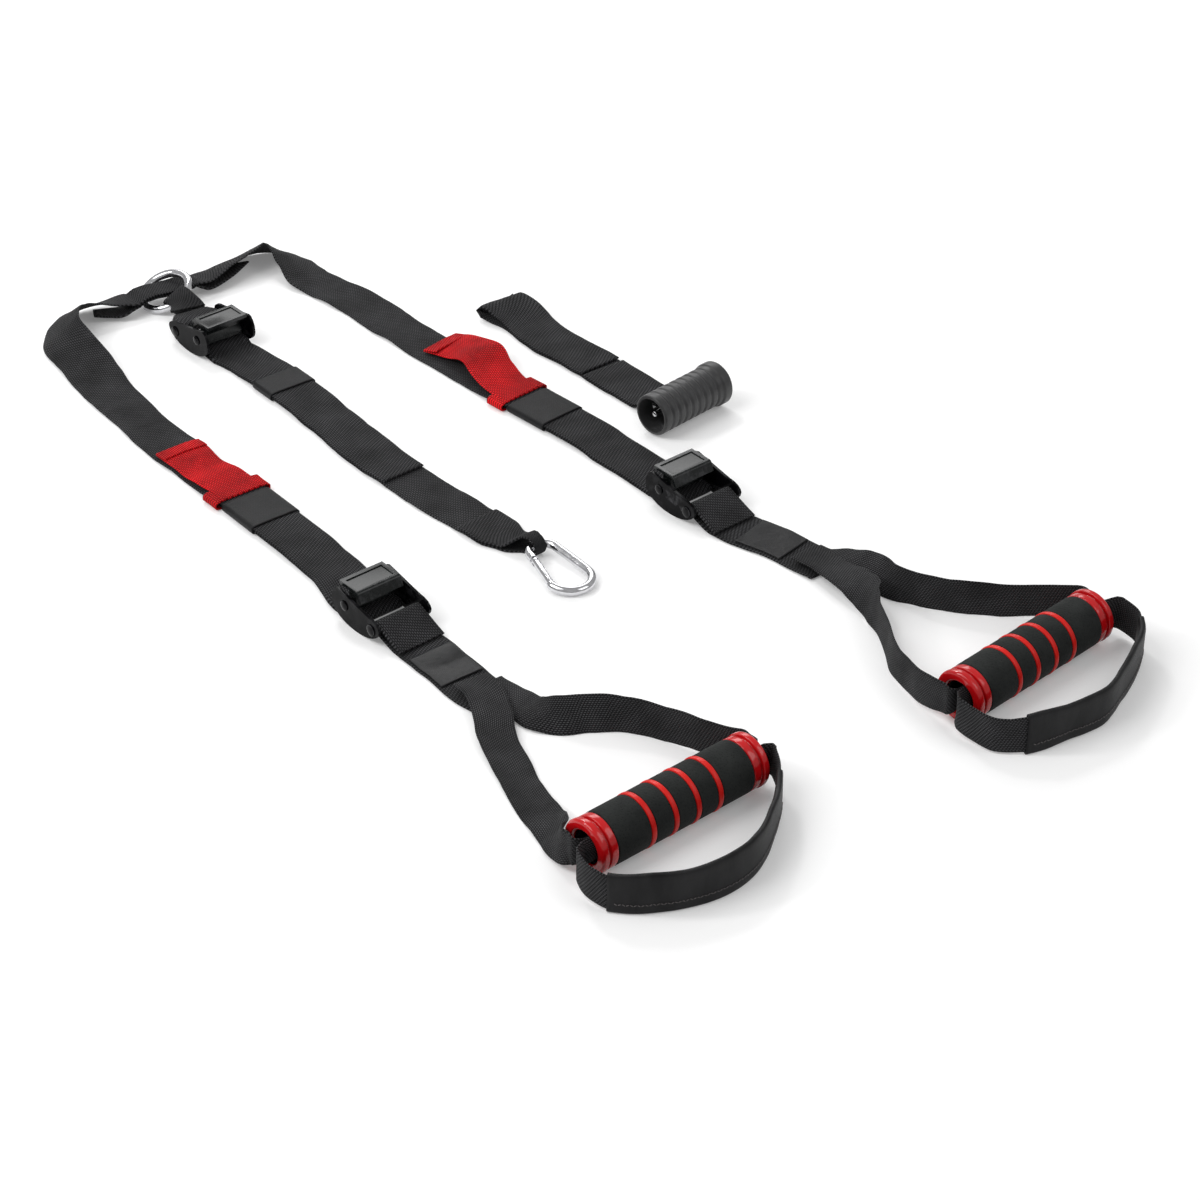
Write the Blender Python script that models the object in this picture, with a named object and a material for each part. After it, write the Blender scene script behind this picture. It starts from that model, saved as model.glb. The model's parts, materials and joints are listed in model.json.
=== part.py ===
"""Suspension trainer laid out on its floor, in metres with +Z up.

Two leg straps run from a welded ring to two handles, each through a cam buckle. A third strap hangs the
ring from a snap hook through a third cam buckle, and a loose door anchor lies beside them. +X is to the
right, +Y points from the handles towards the ring, and the floor is at Z = 0.
"""

import math
from collections import namedtuple

import bmesh
import bpy
from mathutils import Matrix, Vector

# Layout of the trainer on its floor, which all the routes below take their shares from
TRAINER_WIDTH = 0.480
TRAINER_LENGTH = 0.860
ROUTE_STEP = 0.013

# Webbing
WEBBING_WIDTH = 0.037
WEBBING_THICKNESS = 0.0018
HANDLE_WEBBING_WIDTH = 0.025
HANDLE_WEBBING_THICKNESS = 0.0016
LAYER_GAP = 0.0005
CLEARANCE = 0.0004
LAYER = WEBBING_THICKNESS + LAYER_GAP

# Cam buckle: half-moon side plates, a base that the strap turns round, and a fixed bar
BUCKLE_LENGTH = 0.052
BUCKLE_HEIGHT = 0.025
BUCKLE_PLATE = 0.002
BUCKLE_SIDE_CLEARANCE = 0.00125
BUCKLE_END_HEIGHT = 0.0125
BUCKLE_TOP_FRONT = 0.0190
BUCKLE_TOP_BACK = 0.0140
BUCKLE_BAR_END_TOP = 0.0185
BASE_THICKNESS = 0.002
BASE_FRONT = 0.018
BASE_BACK = 0.0035
STRAP_RISE = 0.0011
PIVOT_FORWARD = 0.0115
PIVOT_DIAMETER = 0.004
BAR_SETBACK = 0.0175
BAR_HEIGHT = 0.0100
BAR_DIAMETER = 0.005
RIVET_HEAD = 0.0012
RIVET_FLANGE = 0.0016
FIXED_TURN_LENGTH = 0.026

# Cam lever: toothed cam, cover plate with a sunk panel, and a thumb lip
CAM_RADIUS = 0.0066
CAM_ECCENTRICITY = 0.0014
CAM_TOOTH = 0.0006
CAM_TEETH = 9
CAM_BITE_GAP = 0.0005
CAM_SIDE_GAP = 0.0048
LEVER_SIDE_GAP = 0.0022
LEVER_FRONT = 0.0105
LEVER_BACK = 0.0108
LEVER_PLATE = 0.0026
LEVER_RISE = 0.0001
LEVER_LIP_DROP = 0.0075
LEVER_LIP_REACH = 0.0022
LEVER_BEND = 0.0022
LEVER_WEB = 0.0072
LEVER_RIM = 0.0030
LEVER_PANEL_DEPTH = 0.0008

# Torsion spring beside the cam
SPRING_WIRE = 0.0008
SPRING_TURNS = 3
SPRING_LEG = 0.0080

# Handle grip
GRIP_LENGTH = 0.135
FOAM_DIAMETER = 0.036
BORE_DIAMETER = 0.0220
CORE_WALL = 0.0020
CAP_LENGTH = 0.0125
CAP_DIAMETER = 0.0368
CAP_LIP = 0.0050
CAP_GROOVE = 0.0022
CAP_GROOVE_DEPTH = 0.0026
CAP_WALL = 0.0030
BAND_WIDTH = 0.0036
BAND_DEPTH = 0.0012
BAND_PROUD = 0.0004
BAND_SPACING = 0.0180
MOUTH_REACH = 0.0060

# Foot loop sleeve
SLEEVE_WALL = 0.0010

# Ring
RING_DIAMETER = 0.0445
RING_WIRE = 0.0064
RING_TILT = 24.0

# Snap hook
HOOK_LENGTH = 0.065
HOOK_WIRE = 0.0065
HOOK_NECK_WIDTH = 0.0272
HOOK_BELLY_WIDTH = 0.0370
GATE_DIAMETER = 0.0056
GATE_GAP = 0.0004
GATE_TONGUE = 0.0022
GATE_PIN_DIAMETER = 0.0018

# Keepers, pull tabs and labels
KEEPER_LENGTH = 0.038
KEEPER_WALL = 0.0009
ANCHOR_KEEPER_LENGTH = 0.024
TAB_THICKNESS = 0.0013
TAB_WIDTH = 0.034
TAB_EAR_LENGTH = 0.016
TAB_EAR_OVERHANG = 0.0035
TAB_HEM = 0.012
TAB_HEM_RISE_SHARE = 0.8
TAB_GAP = 0.0035
LABEL_THICKNESS = 0.0007
LABEL_WIDTH = 0.033

# Door anchor
TUBE_DIAMETER = 0.031
TUBE_LENGTH = 0.069
TUBE_WALL = 0.0026
TUBE_RIBS = 8
TUBE_RIB_HEIGHT = 0.0009
TUBE_PLAIN_END = 0.006
TUBE_FLARE = 0.0012
TUBE_FLARE_LENGTH = 0.009
TUBE_SLOT_HEIGHT = 0.013
DOOR_PIN_DIAMETER = 0.004
DOOR_FOLD_RISE = 0.004
DOOR_STRAND_SPACING = 0.0028

ROUND_SEGMENTS = 24
PIN_SEGMENTS = 16
OVERRUN = 0.002

# How the webbing is gathered where it passes round metal
RING_PASSAGE_SHARES = ((-0.63, -0.35), (-0.45, 0.04), (-0.27, 0.04), (0, -0.22), (0.27, -0.38), (0.58, -0.45))
RING_ASIDE_SHARE = 0.09
RING_GATHER_SHARE = 0.56
RIM_GATHER_SHARE = 0.54
RING_SEAM_SHARES = (0.34, 0.52)
RING_LIFT_SHARE = 1.2
EYE_GATHER_SHARE = 0.27
COLLAR_SHARE = 0.35
COLLAR_HEIGHT_SHARE = 0.85
GATE_HINGE_SHARE = 0.10
GATE_HINGE_ASIDE_SHARE = 0.55
GATE_NOSE_SHARE = 0.06
LEFT_SLEEVE_SHARES = (0.13, 0.87)
RIGHT_SLEEVE_SHARES = (0.20, 0.85)

# How far each piece is turned on the floor, in degrees
LEFT_GRIP_TURN = 1.0
RIGHT_GRIP_TURN = 4.2
DOOR_TURN = 5.0

# How many rows of the routes below the tails cover, and which rows carry keepers and tabs
LEFT_TAIL_COUNT = 9
RIGHT_TAIL_COUNT = 8
ANCHOR_TAIL_COUNT = 9
EYE_COUNT = 3
DOOR_JOINT_INDEX = 3
LEFT_KEEPER_INDEX = 15
RIGHT_KEEPER_INDEX = 16
ANCHOR_KEEPER_INDEX = 2

# How many layers of webbing the loops round a strap lift it by
KEEPER_LIFT = (KEEPER_WALL + CLEARANCE) / LAYER
FOOT_LIFT = (SLEEVE_WALL + CLEARANCE) / LAYER

# Places on the floor, as shares of the trainer's width and length. A route's rows also give the layers below
# it, its roll in degrees and the share of its full width. The x shares of a handle's near, far and loop rows
# are of the grip's length, from its middle
RING_SHARES = (-0.0708, 0.4674)
LEFT_BUCKLE_SHARES = (-0.3458, -0.0616)
RIGHT_BUCKLE_SHARES = (0.1812, -0.0895)
ANCHOR_BUCKLE_SHARES = (-0.0854, 0.3814)
HOOK_SHARES = (-0.0802, -0.0651)
LEFT_GRIP_SHARES = (-0.3469, -0.3977)
RIGHT_GRIP_SHARES = (0.2302, -0.4337)
DOOR_SHARE = (0.3302, 0.0163)
LEFT_LEG_SHARES = (
    (-0.1396, 0.4744, 4.5, 6, 0.62),
    (-0.1792, 0.486, 1, 36, 0.92),
    (-0.2188, 0.4872, 0, 50, 1),
    (-0.2479, 0.4802, 0, 60, 1),
    (-0.2667, 0.4674, 0, 62, 1),
    (-0.2792, 0.4535, 0, 56, 1),
    (-0.2833, 0.4326, 0, 42, 1),
    (-0.2875, 0.4116, 0, 25, 1),
    (-0.2917, 0.3884, 0, 8, 1),
    (-0.3021, 0.3488, 0, 0, 1),
    (-0.3104, 0.2907, 0, 0, 1),
    (-0.3167, 0.2209, 0, 0, 1),
    (-0.3167, 0.1953, 0, 0, 1),
    (-0.3167, 0.1698, KEEPER_LIFT, 0, 1),
    (-0.3167, 0.1465, KEEPER_LIFT, 0, 1),
    (-0.3177, 0.1395, KEEPER_LIFT, 0, 1),
    (-0.3196, 0.1047, KEEPER_LIFT, 0, 1),
    (-0.3219, 0.0605, KEEPER_LIFT, 0, 1),
    (-0.324, 0.0326, 0, 0, 1),
    (-0.3271, 0.0093, 0, 0, 1),
    (-0.3354, -0.0093, 0, 0, 1),
    (-0.3438, -0.0233, 0, 0, 1),
)
RIGHT_LEG_SHARES = (
    (0, 0.4709, 2.5, 10, 0.72),
    (0.0458, 0.4744, 1, 34, 0.9),
    (0.0896, 0.4779, 0.3, 50, 1),
    (0.1208, 0.4802, 0, 60, 1),
    (0.1417, 0.4733, 0, 60, 1),
    (0.1521, 0.4605, 0, 48, 1),
    (0.1521, 0.4419, 0, 26, 1),
    (0.15, 0.4209, 0, 8, 1),
    (0.1583, 0.3953, 0, 0, 1),
    (0.1667, 0.3488, 0, 0, 1),
    (0.1646, 0.2965, 0, 0, 1),
    (0.1667, 0.2465, 0, 0, 1),
    (0.1688, 0.2093, 0, 0, 1),
    (0.1708, 0.1744, 0, 0, 1),
    (0.1729, 0.1465, KEEPER_LIFT, 0, 1),
    (0.175, 0.1209, KEEPER_LIFT, 0, 1),
    (0.176, 0.114, KEEPER_LIFT, 0, 1),
    (0.1792, 0.0837, KEEPER_LIFT, 0, 1),
    (0.1833, 0.0419, KEEPER_LIFT, 0, 1),
    (0.1833, 0.0186, 0, 0, 1),
    (0.1833, -0.0116, 0, 0, 1),
    (0.1823, -0.0395, 0, 0, 1),
)
DOUBLER_LEFT_SHARES = (
    (-0.1854, 0.4872, 0, 20, 0.62),
    (-0.1625, 0.4802, 0, 10, 0.6),
    (-0.1437, 0.4721, 1.3, 2, 0.56),
)
DOUBLER_RIGHT_SHARES = (
    (0, 0.4674, 1.1, 4, 0.6),
    (0.0375, 0.4686, 0, 22, 0.66),
    (0.0792, 0.4756, 0, 40, 0.7),
)
ANCHOR_SHARES = (
    (-0.0875, -0.0419, 0, 0, 0.72),
    (-0.0906, -0.0233, 0, 0, 0.97),
    (-0.0938, 0, 0, 0, 1),
    (-0.0958, 0.0233, 0, 0, 1),
    (-0.0969, 0.05, 0, 0, 1),
    (-0.099, 0.093, 0, 0, 1),
    (-0.099, 0.1279, 0, 0, 1),
    (-0.0948, 0.1686, 0, 0, 1),
    (-0.0896, 0.2035, 0, 0, 1),
    (-0.0844, 0.2326, KEEPER_LIFT, 0, 1),
    (-0.0823, 0.2581, KEEPER_LIFT, 0, 1),
    (-0.0802, 0.2953, KEEPER_LIFT, 0, 1),
    (-0.0802, 0.3198, 0, 0, 1),
    (-0.0833, 0.3442, 0, 0, 1),
)
LEFT_FIXED_SHARES = (
    (-0.3479, -0.1302, 0, 0, 1),
    (-0.35, -0.1628, 0, 0, 1),
    (-0.35, -0.186, 0, 0, 1),
    (-0.3479, -0.207, 0, 0, 1),
)
RIGHT_FIXED_SHARES = (
    (0.1896, -0.1581, 0, 0, 1),
    (0.2, -0.186, 0, 0, 1),
    (0.2062, -0.2116, 0, 0, 1),
    (0.2083, -0.2337, 0, 0, 1),
)
LEFT_LABEL_SHARES = (
    (-0.3479, -0.1233, 0, 0, 1),
    (-0.35, -0.1465, 0, 0, 1),
    (-0.351, -0.1663, 0, 0, 1),
)
RIGHT_LABEL_SHARES = (
    (0.1885, -0.1523, 0, 0, 1),
    (0.1969, -0.1744, 0, 0, 1),
    (0.2031, -0.1965, 0, 0, 1),
)
LEFT_NEAR_SHARES = (
    (-0.004, -0.1744, 2, 0, 1),
    (-0.026, -0.1942, 2.6, 0, 1),
    (-0.107, -0.2186, 2.2, 0, 1),
    (-0.181, -0.2395, 1.8, 0, 1),
    (-0.241, -0.2628, 1, 0, 1),
    (-0.3, -0.2872, 0.3, 0, 1),
    (-0.352, -0.3116, 0, 4, 1),
    (-0.411, -0.3384, 0, 16, 1),
    (-0.47, -0.3616, 0, 46, 1),
    (-0.537, -0.3802, 1, 78, 1),
)
LEFT_FAR_SHARES = (
    (0.552, -0.3802, 1.6, 90, 1),
    (0.515, -0.3628, 0.6, 90, 1),
    (0.441, -0.3302, 0, 90, 1),
    (0.337, -0.2942, 0, 90, 1),
    (0.211, -0.2744, 0, 90, 1),
    (0.107, -0.2605, 0, 88, 1),
    (0.048, -0.2419, 0, 78, 1),
    (0.048, -0.2233, 0.2, 40, 1),
    (0.048, -0.2047, 0.9, 5, 1),
    (0.048, -0.1837, 1, 0, 1),
)
RIGHT_NEAR_SHARES = (
    (-0.092, -0.207, 2, 0, 1),
    (-0.092, -0.2279, 2.6, 0, 1),
    (-0.107, -0.2488, 3, 4, 1),
    (-0.129, -0.2709, 3, 18, 1),
    (-0.167, -0.2895, 1.5, 46, 1),
    (-0.218, -0.3058, 0.4, 72, 1),
    (-0.285, -0.3244, 0, 88, 1),
    (-0.418, -0.357, 0, 90, 1),
    (-0.492, -0.3802, 0.3, 90, 1),
    (-0.537, -0.4023, 1, 90, 1),
    (-0.552, -0.4186, 2, 90, 1),
)
RIGHT_FAR_SHARES = (
    (0.544, -0.407, 1.6, 90, 1),
    (0.426, -0.3849, 0.6, 90, 1),
    (0.278, -0.3616, 0, 90, 1),
    (0.144, -0.3372, 0, 90, 1),
    (0.055, -0.314, 0, 90, 1),
    (0.011, -0.293, 0, 90, 1),
    (0.018, -0.2744, 0, 84, 1),
    (0.026, -0.2558, 0, 60, 1),
    (0.004, -0.2372, 0.9, 13, 1),
    (-0.041, -0.2209, 1, 0, 1),
    (-0.055, -0.2093, 1, 0, 1),
)
LEFT_LOOP_SHARES = (
    (-0.589, -0.4093, 2.2, 90, 1),
    (-0.611, -0.4233, 1.2, 90, 1),
    (-0.589, -0.4407, FOOT_LIFT, 90, 1),
    (-0.463, -0.4605, FOOT_LIFT, 90, 1),
    (-0.27, -0.4756, FOOT_LIFT, 90, 1),
    (-0.07, -0.4802, FOOT_LIFT, 90, 1),
    (0.107, -0.4733, FOOT_LIFT, 90, 1),
    (0.271, -0.4581, FOOT_LIFT, 90, 1),
    (0.418, -0.4395, FOOT_LIFT, 90, 1),
    (0.53, -0.4209, 1.2, 90, 1),
    (0.574, -0.407, 2.2, 90, 1),
)
RIGHT_LOOP_SHARES = (
    (-0.574, -0.4523, 2.2, 90, 1),
    (-0.567, -0.4663, 1.2, 90, 1),
    (-0.537, -0.4849, FOOT_LIFT, 90, 1),
    (-0.433, -0.4988, FOOT_LIFT, 90, 1),
    (-0.226, -0.507, FOOT_LIFT, 90, 1),
    (0.011, -0.5105, FOOT_LIFT, 90, 1),
    (0.189, -0.5012, FOOT_LIFT, 90, 1),
    (0.367, -0.4884, FOOT_LIFT, 90, 1),
    (0.53, -0.4733, FOOT_LIFT, 90, 1),
    (0.619, -0.4547, 1.2, 90, 1),
    (0.611, -0.4384, 2.2, 90, 1),
)
LEFT_TAB_SHARES = (
    (-0.3173, 0.186, 2.4, 0, 1),
    (-0.3173, 0.2047, 1.3, 0, 1),
    (-0.3156, 0.2279, 1.1, 0, 1),
    (-0.3135, 0.2465, 1.1, 0, 1),
)
RIGHT_TAB_SHARES = (
    (0.1792, 0.1721, 3.6, 0, 1),
    (0.1896, 0.1953, 4.2, 8, 1),
    (0.1875, 0.2209, 2.4, 8, 1),
    (0.1812, 0.2465, 1.2, 0, 1),
)
DOOR_SHARES = (
    (0.3271, 0.0581, 0, 0, 1),
    (0.326, 0.0884, 0, 0, 1),
    (0.3271, 0.1209, 0, 0, 1),
    (0.3271, 0.1256, 0, 0, 1),
    (0.324, 0.1581, 0, 0, 1),
    (0.3229, 0.193, 0, 0, 1),
    (0.3292, 0.2209, 0, 0, 1),
    (0.3312, 0.2419, 0, 0, 1),
)
DOOR_FOLD_SHARES = (
    (0.325, 0.2581, 0.06),
    (0.3208, 0.2663, 0.16),
    (0.325, 0.2581, 0.27),
)


UP = Vector((0, 0, 1))
ACROSS = Vector((1, 0, 0))
Station = namedtuple("Station", "point across width bow")


# Materials


def material(name, colour, roughness, metallic=0.0):
    made = bpy.data.materials.new(name)
    made.use_nodes = True
    shader = made.node_tree.nodes["Principled BSDF"]
    shader.inputs["Base Color"].default_value = (*colour, 1)
    shader.inputs["Roughness"].default_value = roughness
    shader.inputs["Metallic"].default_value = metallic
    return made


# Placing


def empty(name, place):
    held = bpy.data.objects.new(name, None)
    held.matrix_basis = place
    bpy.context.collection.objects.link(held)
    return held


def placement(x_share, y_share, height=0, turn=0.0):
    """A frame on the floor plan, turned about the vertical by so many degrees."""
    spot = Matrix.Translation((x_share * TRAINER_WIDTH, y_share * TRAINER_LENGTH, height))
    return spot @ Matrix.Rotation(math.radians(turn), 4, "Z")


def finished(name, shape, finish, parent=None, place=None):
    """An object made of a bmesh. place is where its origin is, in its parent's frame."""
    bmesh.ops.remove_doubles(shape, verts=shape.verts, dist=CLEARANCE / 100)
    bmesh.ops.recalc_face_normals(shape, faces=shape.faces)
    mesh = bpy.data.meshes.new(name)
    shape.to_mesh(mesh)
    shape.free()
    mesh.materials.append(finish)
    mesh.shade_smooth()
    mesh.set_sharp_from_angle(angle=math.radians(35))
    piece = bpy.data.objects.new(name, mesh)
    bpy.context.collection.objects.link(piece)
    piece.parent = parent
    if place is not None:
        piece.matrix_basis = place
    return piece


def helper(piece):
    piece.hide_render = True
    piece.display_type = "WIRE"
    return piece


def combine(piece, other, operation):
    helper(other)
    step = piece.modifiers.new(other.name, "BOOLEAN")
    step.operation = operation
    step.solver = "EXACT"
    step.object = other


# Swept webbing


def blended(a, b, c, d, t):
    """A Catmull-Rom curve from b to c."""
    return 0.5 * (2 * b + (c - a) * t + (2 * a - 5 * b + 4 * c - d) * t**2 + (3 * b - a - 3 * c + d) * t**3)


def smoothed(stations):
    """The stations with more between them, wherever two lie further apart than a route step.

    The curve between two stations never dips below the lower of them or rises above the higher.
    """
    made = []
    last = len(stations) - 1
    for i in range(last):
        a, b, c, d = (stations[min(max(k, 0), last)] for k in (i - 1, i, i + 1, i + 2))
        steps = max(1, round((c.point - b.point).length / ROUTE_STEP))
        for step in range(steps):
            t = step / steps
            point = blended(a.point, b.point, c.point, d.point, t)
            point.z = min(max(point.z, min(b.point.z, c.point.z)), max(b.point.z, c.point.z))
            made.append(
                Station(
                    point,
                    b.across.lerp(c.across, t).normalized(),
                    b.width + (c.width - b.width) * t,
                    b.bow.lerp(c.bow, t),
                )
            )
    made.append(stations[last])
    return made


def tangents(stations):
    last = len(stations) - 1
    return [
        (stations[min(i + 1, last)].point - stations[max(i - 1, 0)].point).normalized()
        for i in range(last + 1)
    ]


def sections(stations, splits):
    """For each station, the points across the webbing and the directions out of its upper face there."""
    found = []
    for spot, along in zip(stations, tangents(stations)):
        across = (spot.across - spot.across.dot(along) * along).normalized() * spot.width
        row = []
        for k in range(splits + 1):
            s = k / splits - 0.5
            slope = across - 8 * s * spot.bow
            row.append((spot.point + s * across + (1 - 4 * s * s) * spot.bow, slope.cross(along).normalized()))
        found.append(row)
    return found


def grounded(points):
    """The points of one section, lifted as much as the lowest lies under the floor."""
    lift = max(0, -min(point.z for point in points)) * UP
    return [point + lift for point in points]


def ribbon_shape(stations, thickness, splits=1):
    """Both faces are divided along the same diagonals, so a twist leaves the thickness as it is."""
    shape = bmesh.new()
    rows = []
    for row in sections(smoothed(stations), splits):
        upper = [point + out * thickness / 2 for point, out in row]
        lower = [point - out * thickness / 2 for point, out in row]
        made = [shape.verts.new(point) for point in grounded(upper + lower)]
        rows.append((made[: splits + 1], made[splits + 1 :]))
    for (upper, lower), (upper_after, lower_after) in zip(rows, rows[1:]):
        for k in range(splits):
            shape.faces.new((upper[k], upper[k + 1], upper_after[k + 1]))
            shape.faces.new((upper[k], upper_after[k + 1], upper_after[k]))
            shape.faces.new((lower[k], lower_after[k + 1], lower[k + 1]))
            shape.faces.new((lower[k], lower_after[k], lower_after[k + 1]))
        for k in (0, splits):
            shape.faces.new((upper[k], upper_after[k], lower_after[k], lower[k]))
    for upper, lower in (rows[0], rows[-1]):
        for k in range(splits):
            shape.faces.new((upper[k], upper[k + 1], lower[k + 1], lower[k]))
    return shape


def ribbon(name, stations, thickness, finish, splits=1, parent=None):
    """Webbing of one thickness along its stations. With a parent, its origin is the parent's."""
    shape = ribbon_shape(stations, thickness, splits)
    if parent is not None:
        shape.transform(parent.matrix_basis.inverted())
    return finished(name, shape, finish, parent)


def sleeve(name, stations, height, wall, finish, parent=None):
    """A flat tube of webbing or film, open at both ends, whose stations give its inner width."""
    shape = bmesh.new()
    rows = []
    for spot, row in zip(smoothed(stations), sections(smoothed(stations), 1)):
        (left, out), (right, _) = row
        side = (right - left).normalized()
        corners = []
        for extra in (0, wall):
            rise = out * (height / 2 + extra)
            reach = side * extra
            corners += [left - reach + rise, right + reach + rise, right + reach - rise, left - reach - rise]
        made = [shape.verts.new(corner) for corner in grounded(corners)]
        rows.append((made[:4], made[4:]))
    for one, two in zip(rows, rows[1:]):
        for near, far in zip(one, two):
            for k in range(4):
                shape.faces.new((near[k], near[(k + 1) % 4], far[(k + 1) % 4], far[k]))
    for inner, outer in (rows[0], rows[-1]):
        for k in range(4):
            shape.faces.new((inner[k], inner[(k + 1) % 4], outer[(k + 1) % 4], outer[k]))
    if parent is not None:
        shape.transform(parent.matrix_basis.inverted())
    return finished(name, shape, finish, parent)


def on_floor(rows, width, thickness, side=1, middle=0, span=TRAINER_WIDTH):
    """Stations of webbing laid on the floor. A row is x share, y share, layers below it, roll and width share.

    side is 1 where the webbing's across direction is on the right of its heading, and -1 on the left. The roll
    lifts that edge, in degrees, with the other edge left at its layer. The x shares are of the span, from its
    middle.
    """
    points = [Vector((middle + row[0] * span, row[1] * TRAINER_LENGTH, 0)) for row in rows]
    made = []
    for i, row in enumerate(rows):
        heading = (points[min(i + 1, len(rows) - 1)] - points[max(i - 1, 0)]).normalized()
        roll = math.radians(row[3])
        across = side * math.cos(roll) * Vector((heading.y, -heading.x, 0)) + math.sin(roll) * UP
        wide = width * row[4]
        rise = row[2] * LAYER + thickness / 2 * math.cos(roll) + wide / 2 * abs(math.sin(roll))
        made.append(Station(points[i] + rise * UP, across, wide, Vector()))
    return made


def turned_round(place, y, z, radius, start, end, width, steps, bow=Vector(), across=ACROSS):
    """Stations round a cylinder along X of a placed frame, from one angle to another, 0 towards +Y and 90 up."""
    made = []
    turn = place.to_3x3()
    for i in range(steps + 1):
        angle = math.radians(start + (end - start) * i / steps)
        spot = Vector((0, y + radius * math.cos(angle), z + radius * math.sin(angle)))
        made.append(Station(place @ spot, turn @ across, width, turn @ bow))
    return made


def at(place, x, y, z, width, across=ACROSS, bow=Vector()):
    turn = place.to_3x3()
    return Station(place @ Vector((x, y, z)), turn @ across, width, turn @ bow)


# Turned, extruded and round pieces


def turned(profile, segments=ROUND_SEGMENTS):
    """A closed profile of (x, radius) points turned about X. A radius of 0 closes on the axis."""
    shape = bmesh.new()
    loops = []
    for x, radius in profile:
        if radius == 0:
            loops.append([shape.verts.new((x, 0, 0))])
            continue
        angles = [2 * math.pi * k / segments for k in range(segments)]
        loops.append([shape.verts.new((x, radius * math.cos(a), radius * math.sin(a))) for a in angles])
    solid = len(loops[0]) == 1
    pairs = list(zip(loops, loops[1:])) if solid else list(zip(loops, loops[1:] + loops[:1]))
    for one, two in pairs:
        for k in range(segments):
            after = (k + 1) % segments
            if len(one) == 1:
                shape.faces.new((one[0], two[k], two[after]))
            elif len(two) == 1:
                shape.faces.new((one[k], one[after], two[0]))
            else:
                shape.faces.new((one[k], one[after], two[after], two[k]))
    return shape


def extruded(outline, x_from, x_to):
    """A closed outline of (y, z) points, extruded along X."""
    shape = bmesh.new()
    ends = [[shape.verts.new((x, y, z)) for y, z in outline] for x in (x_from, x_to)]
    shape.faces.new(ends[0])
    shape.faces.new(ends[1][::-1])
    count = len(outline)
    for k in range(count):
        after = (k + 1) % count
        shape.faces.new((ends[0][k], ends[0][after], ends[1][after], ends[1][k]))
    return shape


def block(low, high):
    outline = ((low[1], low[2]), (high[1], low[2]), (high[1], high[2]), (low[1], high[2]))
    return extruded(outline, low[0], high[0])


def rod(points, radius, sides, reference):
    """A round wire along its points. The reference is a direction that it never runs along."""
    shape = bmesh.new()
    last = len(points) - 1
    loops = []
    for i, point in enumerate(points):
        along = (points[min(i + 1, last)] - points[max(i - 1, 0)]).normalized()
        one = reference.cross(along).normalized()
        two = along.cross(one)
        angles = [2 * math.pi * k / sides for k in range(sides)]
        loops.append([shape.verts.new(point + radius * (math.cos(a) * one + math.sin(a) * two)) for a in angles])
    for one, two in zip(loops, loops[1:]):
        for k in range(sides):
            after = (k + 1) % sides
            shape.faces.new((one[k], one[after], two[after], two[k]))
    shape.faces.new(loops[0])
    shape.faces.new(loops[-1][::-1])
    return shape


def arc(centre_y, centre_z, radius_y, radius_z, start, end, steps):
    angles = [math.radians(start + (end - start) * i / steps) for i in range(steps + 1)]
    return [(centre_y + radius_y * math.cos(a), centre_z + radius_z * math.sin(a)) for a in angles]


# Cam buckle

BUCKLE_INNER = WEBBING_WIDTH + 2 * BUCKLE_SIDE_CLEARANCE
BUCKLE_OUTER = BUCKLE_INNER + 2 * BUCKLE_PLATE
BASE_TURN = BASE_THICKNESS / 2 + CLEARANCE + WEBBING_THICKNESS / 2
BASE_MIDDLE = STRAP_RISE + WEBBING_THICKNESS / 2 + BASE_TURN
TAIL_IN_BUCKLE = BASE_MIDDLE + BASE_TURN
PIVOT_HEIGHT = TAIL_IN_BUCKLE + WEBBING_THICKNESS / 2 + CAM_BITE_GAP + CAM_RADIUS
BAR_TURN = BAR_DIAMETER / 2 + CLEARANCE + WEBBING_THICKNESS / 2
LEVER_TOP = BUCKLE_HEIGHT + LEVER_RISE + LEVER_PLATE - PIVOT_HEIGHT
LEVER_UNDER = LEVER_TOP - LEVER_PLATE


def half_moon():
    """Side plate: straight top, round ends, and a belly that meets the floor below the middle."""
    half = BUCKLE_LENGTH / 2
    belly = arc(0, BUCKLE_END_HEIGHT, half, BUCKLE_END_HEIGHT, 180, 360, 12)
    front = arc(
        BUCKLE_TOP_FRONT, BUCKLE_END_HEIGHT, half - BUCKLE_TOP_FRONT, BUCKLE_HEIGHT - BUCKLE_END_HEIGHT, 0, 90, 4
    )
    back = arc(
        -BUCKLE_TOP_BACK, BUCKLE_END_HEIGHT, half - BUCKLE_TOP_BACK, BUCKLE_BAR_END_TOP - BUCKLE_END_HEIGHT, 90, 180, 4
    )
    return belly[:-1] + front + back[:-1]


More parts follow.
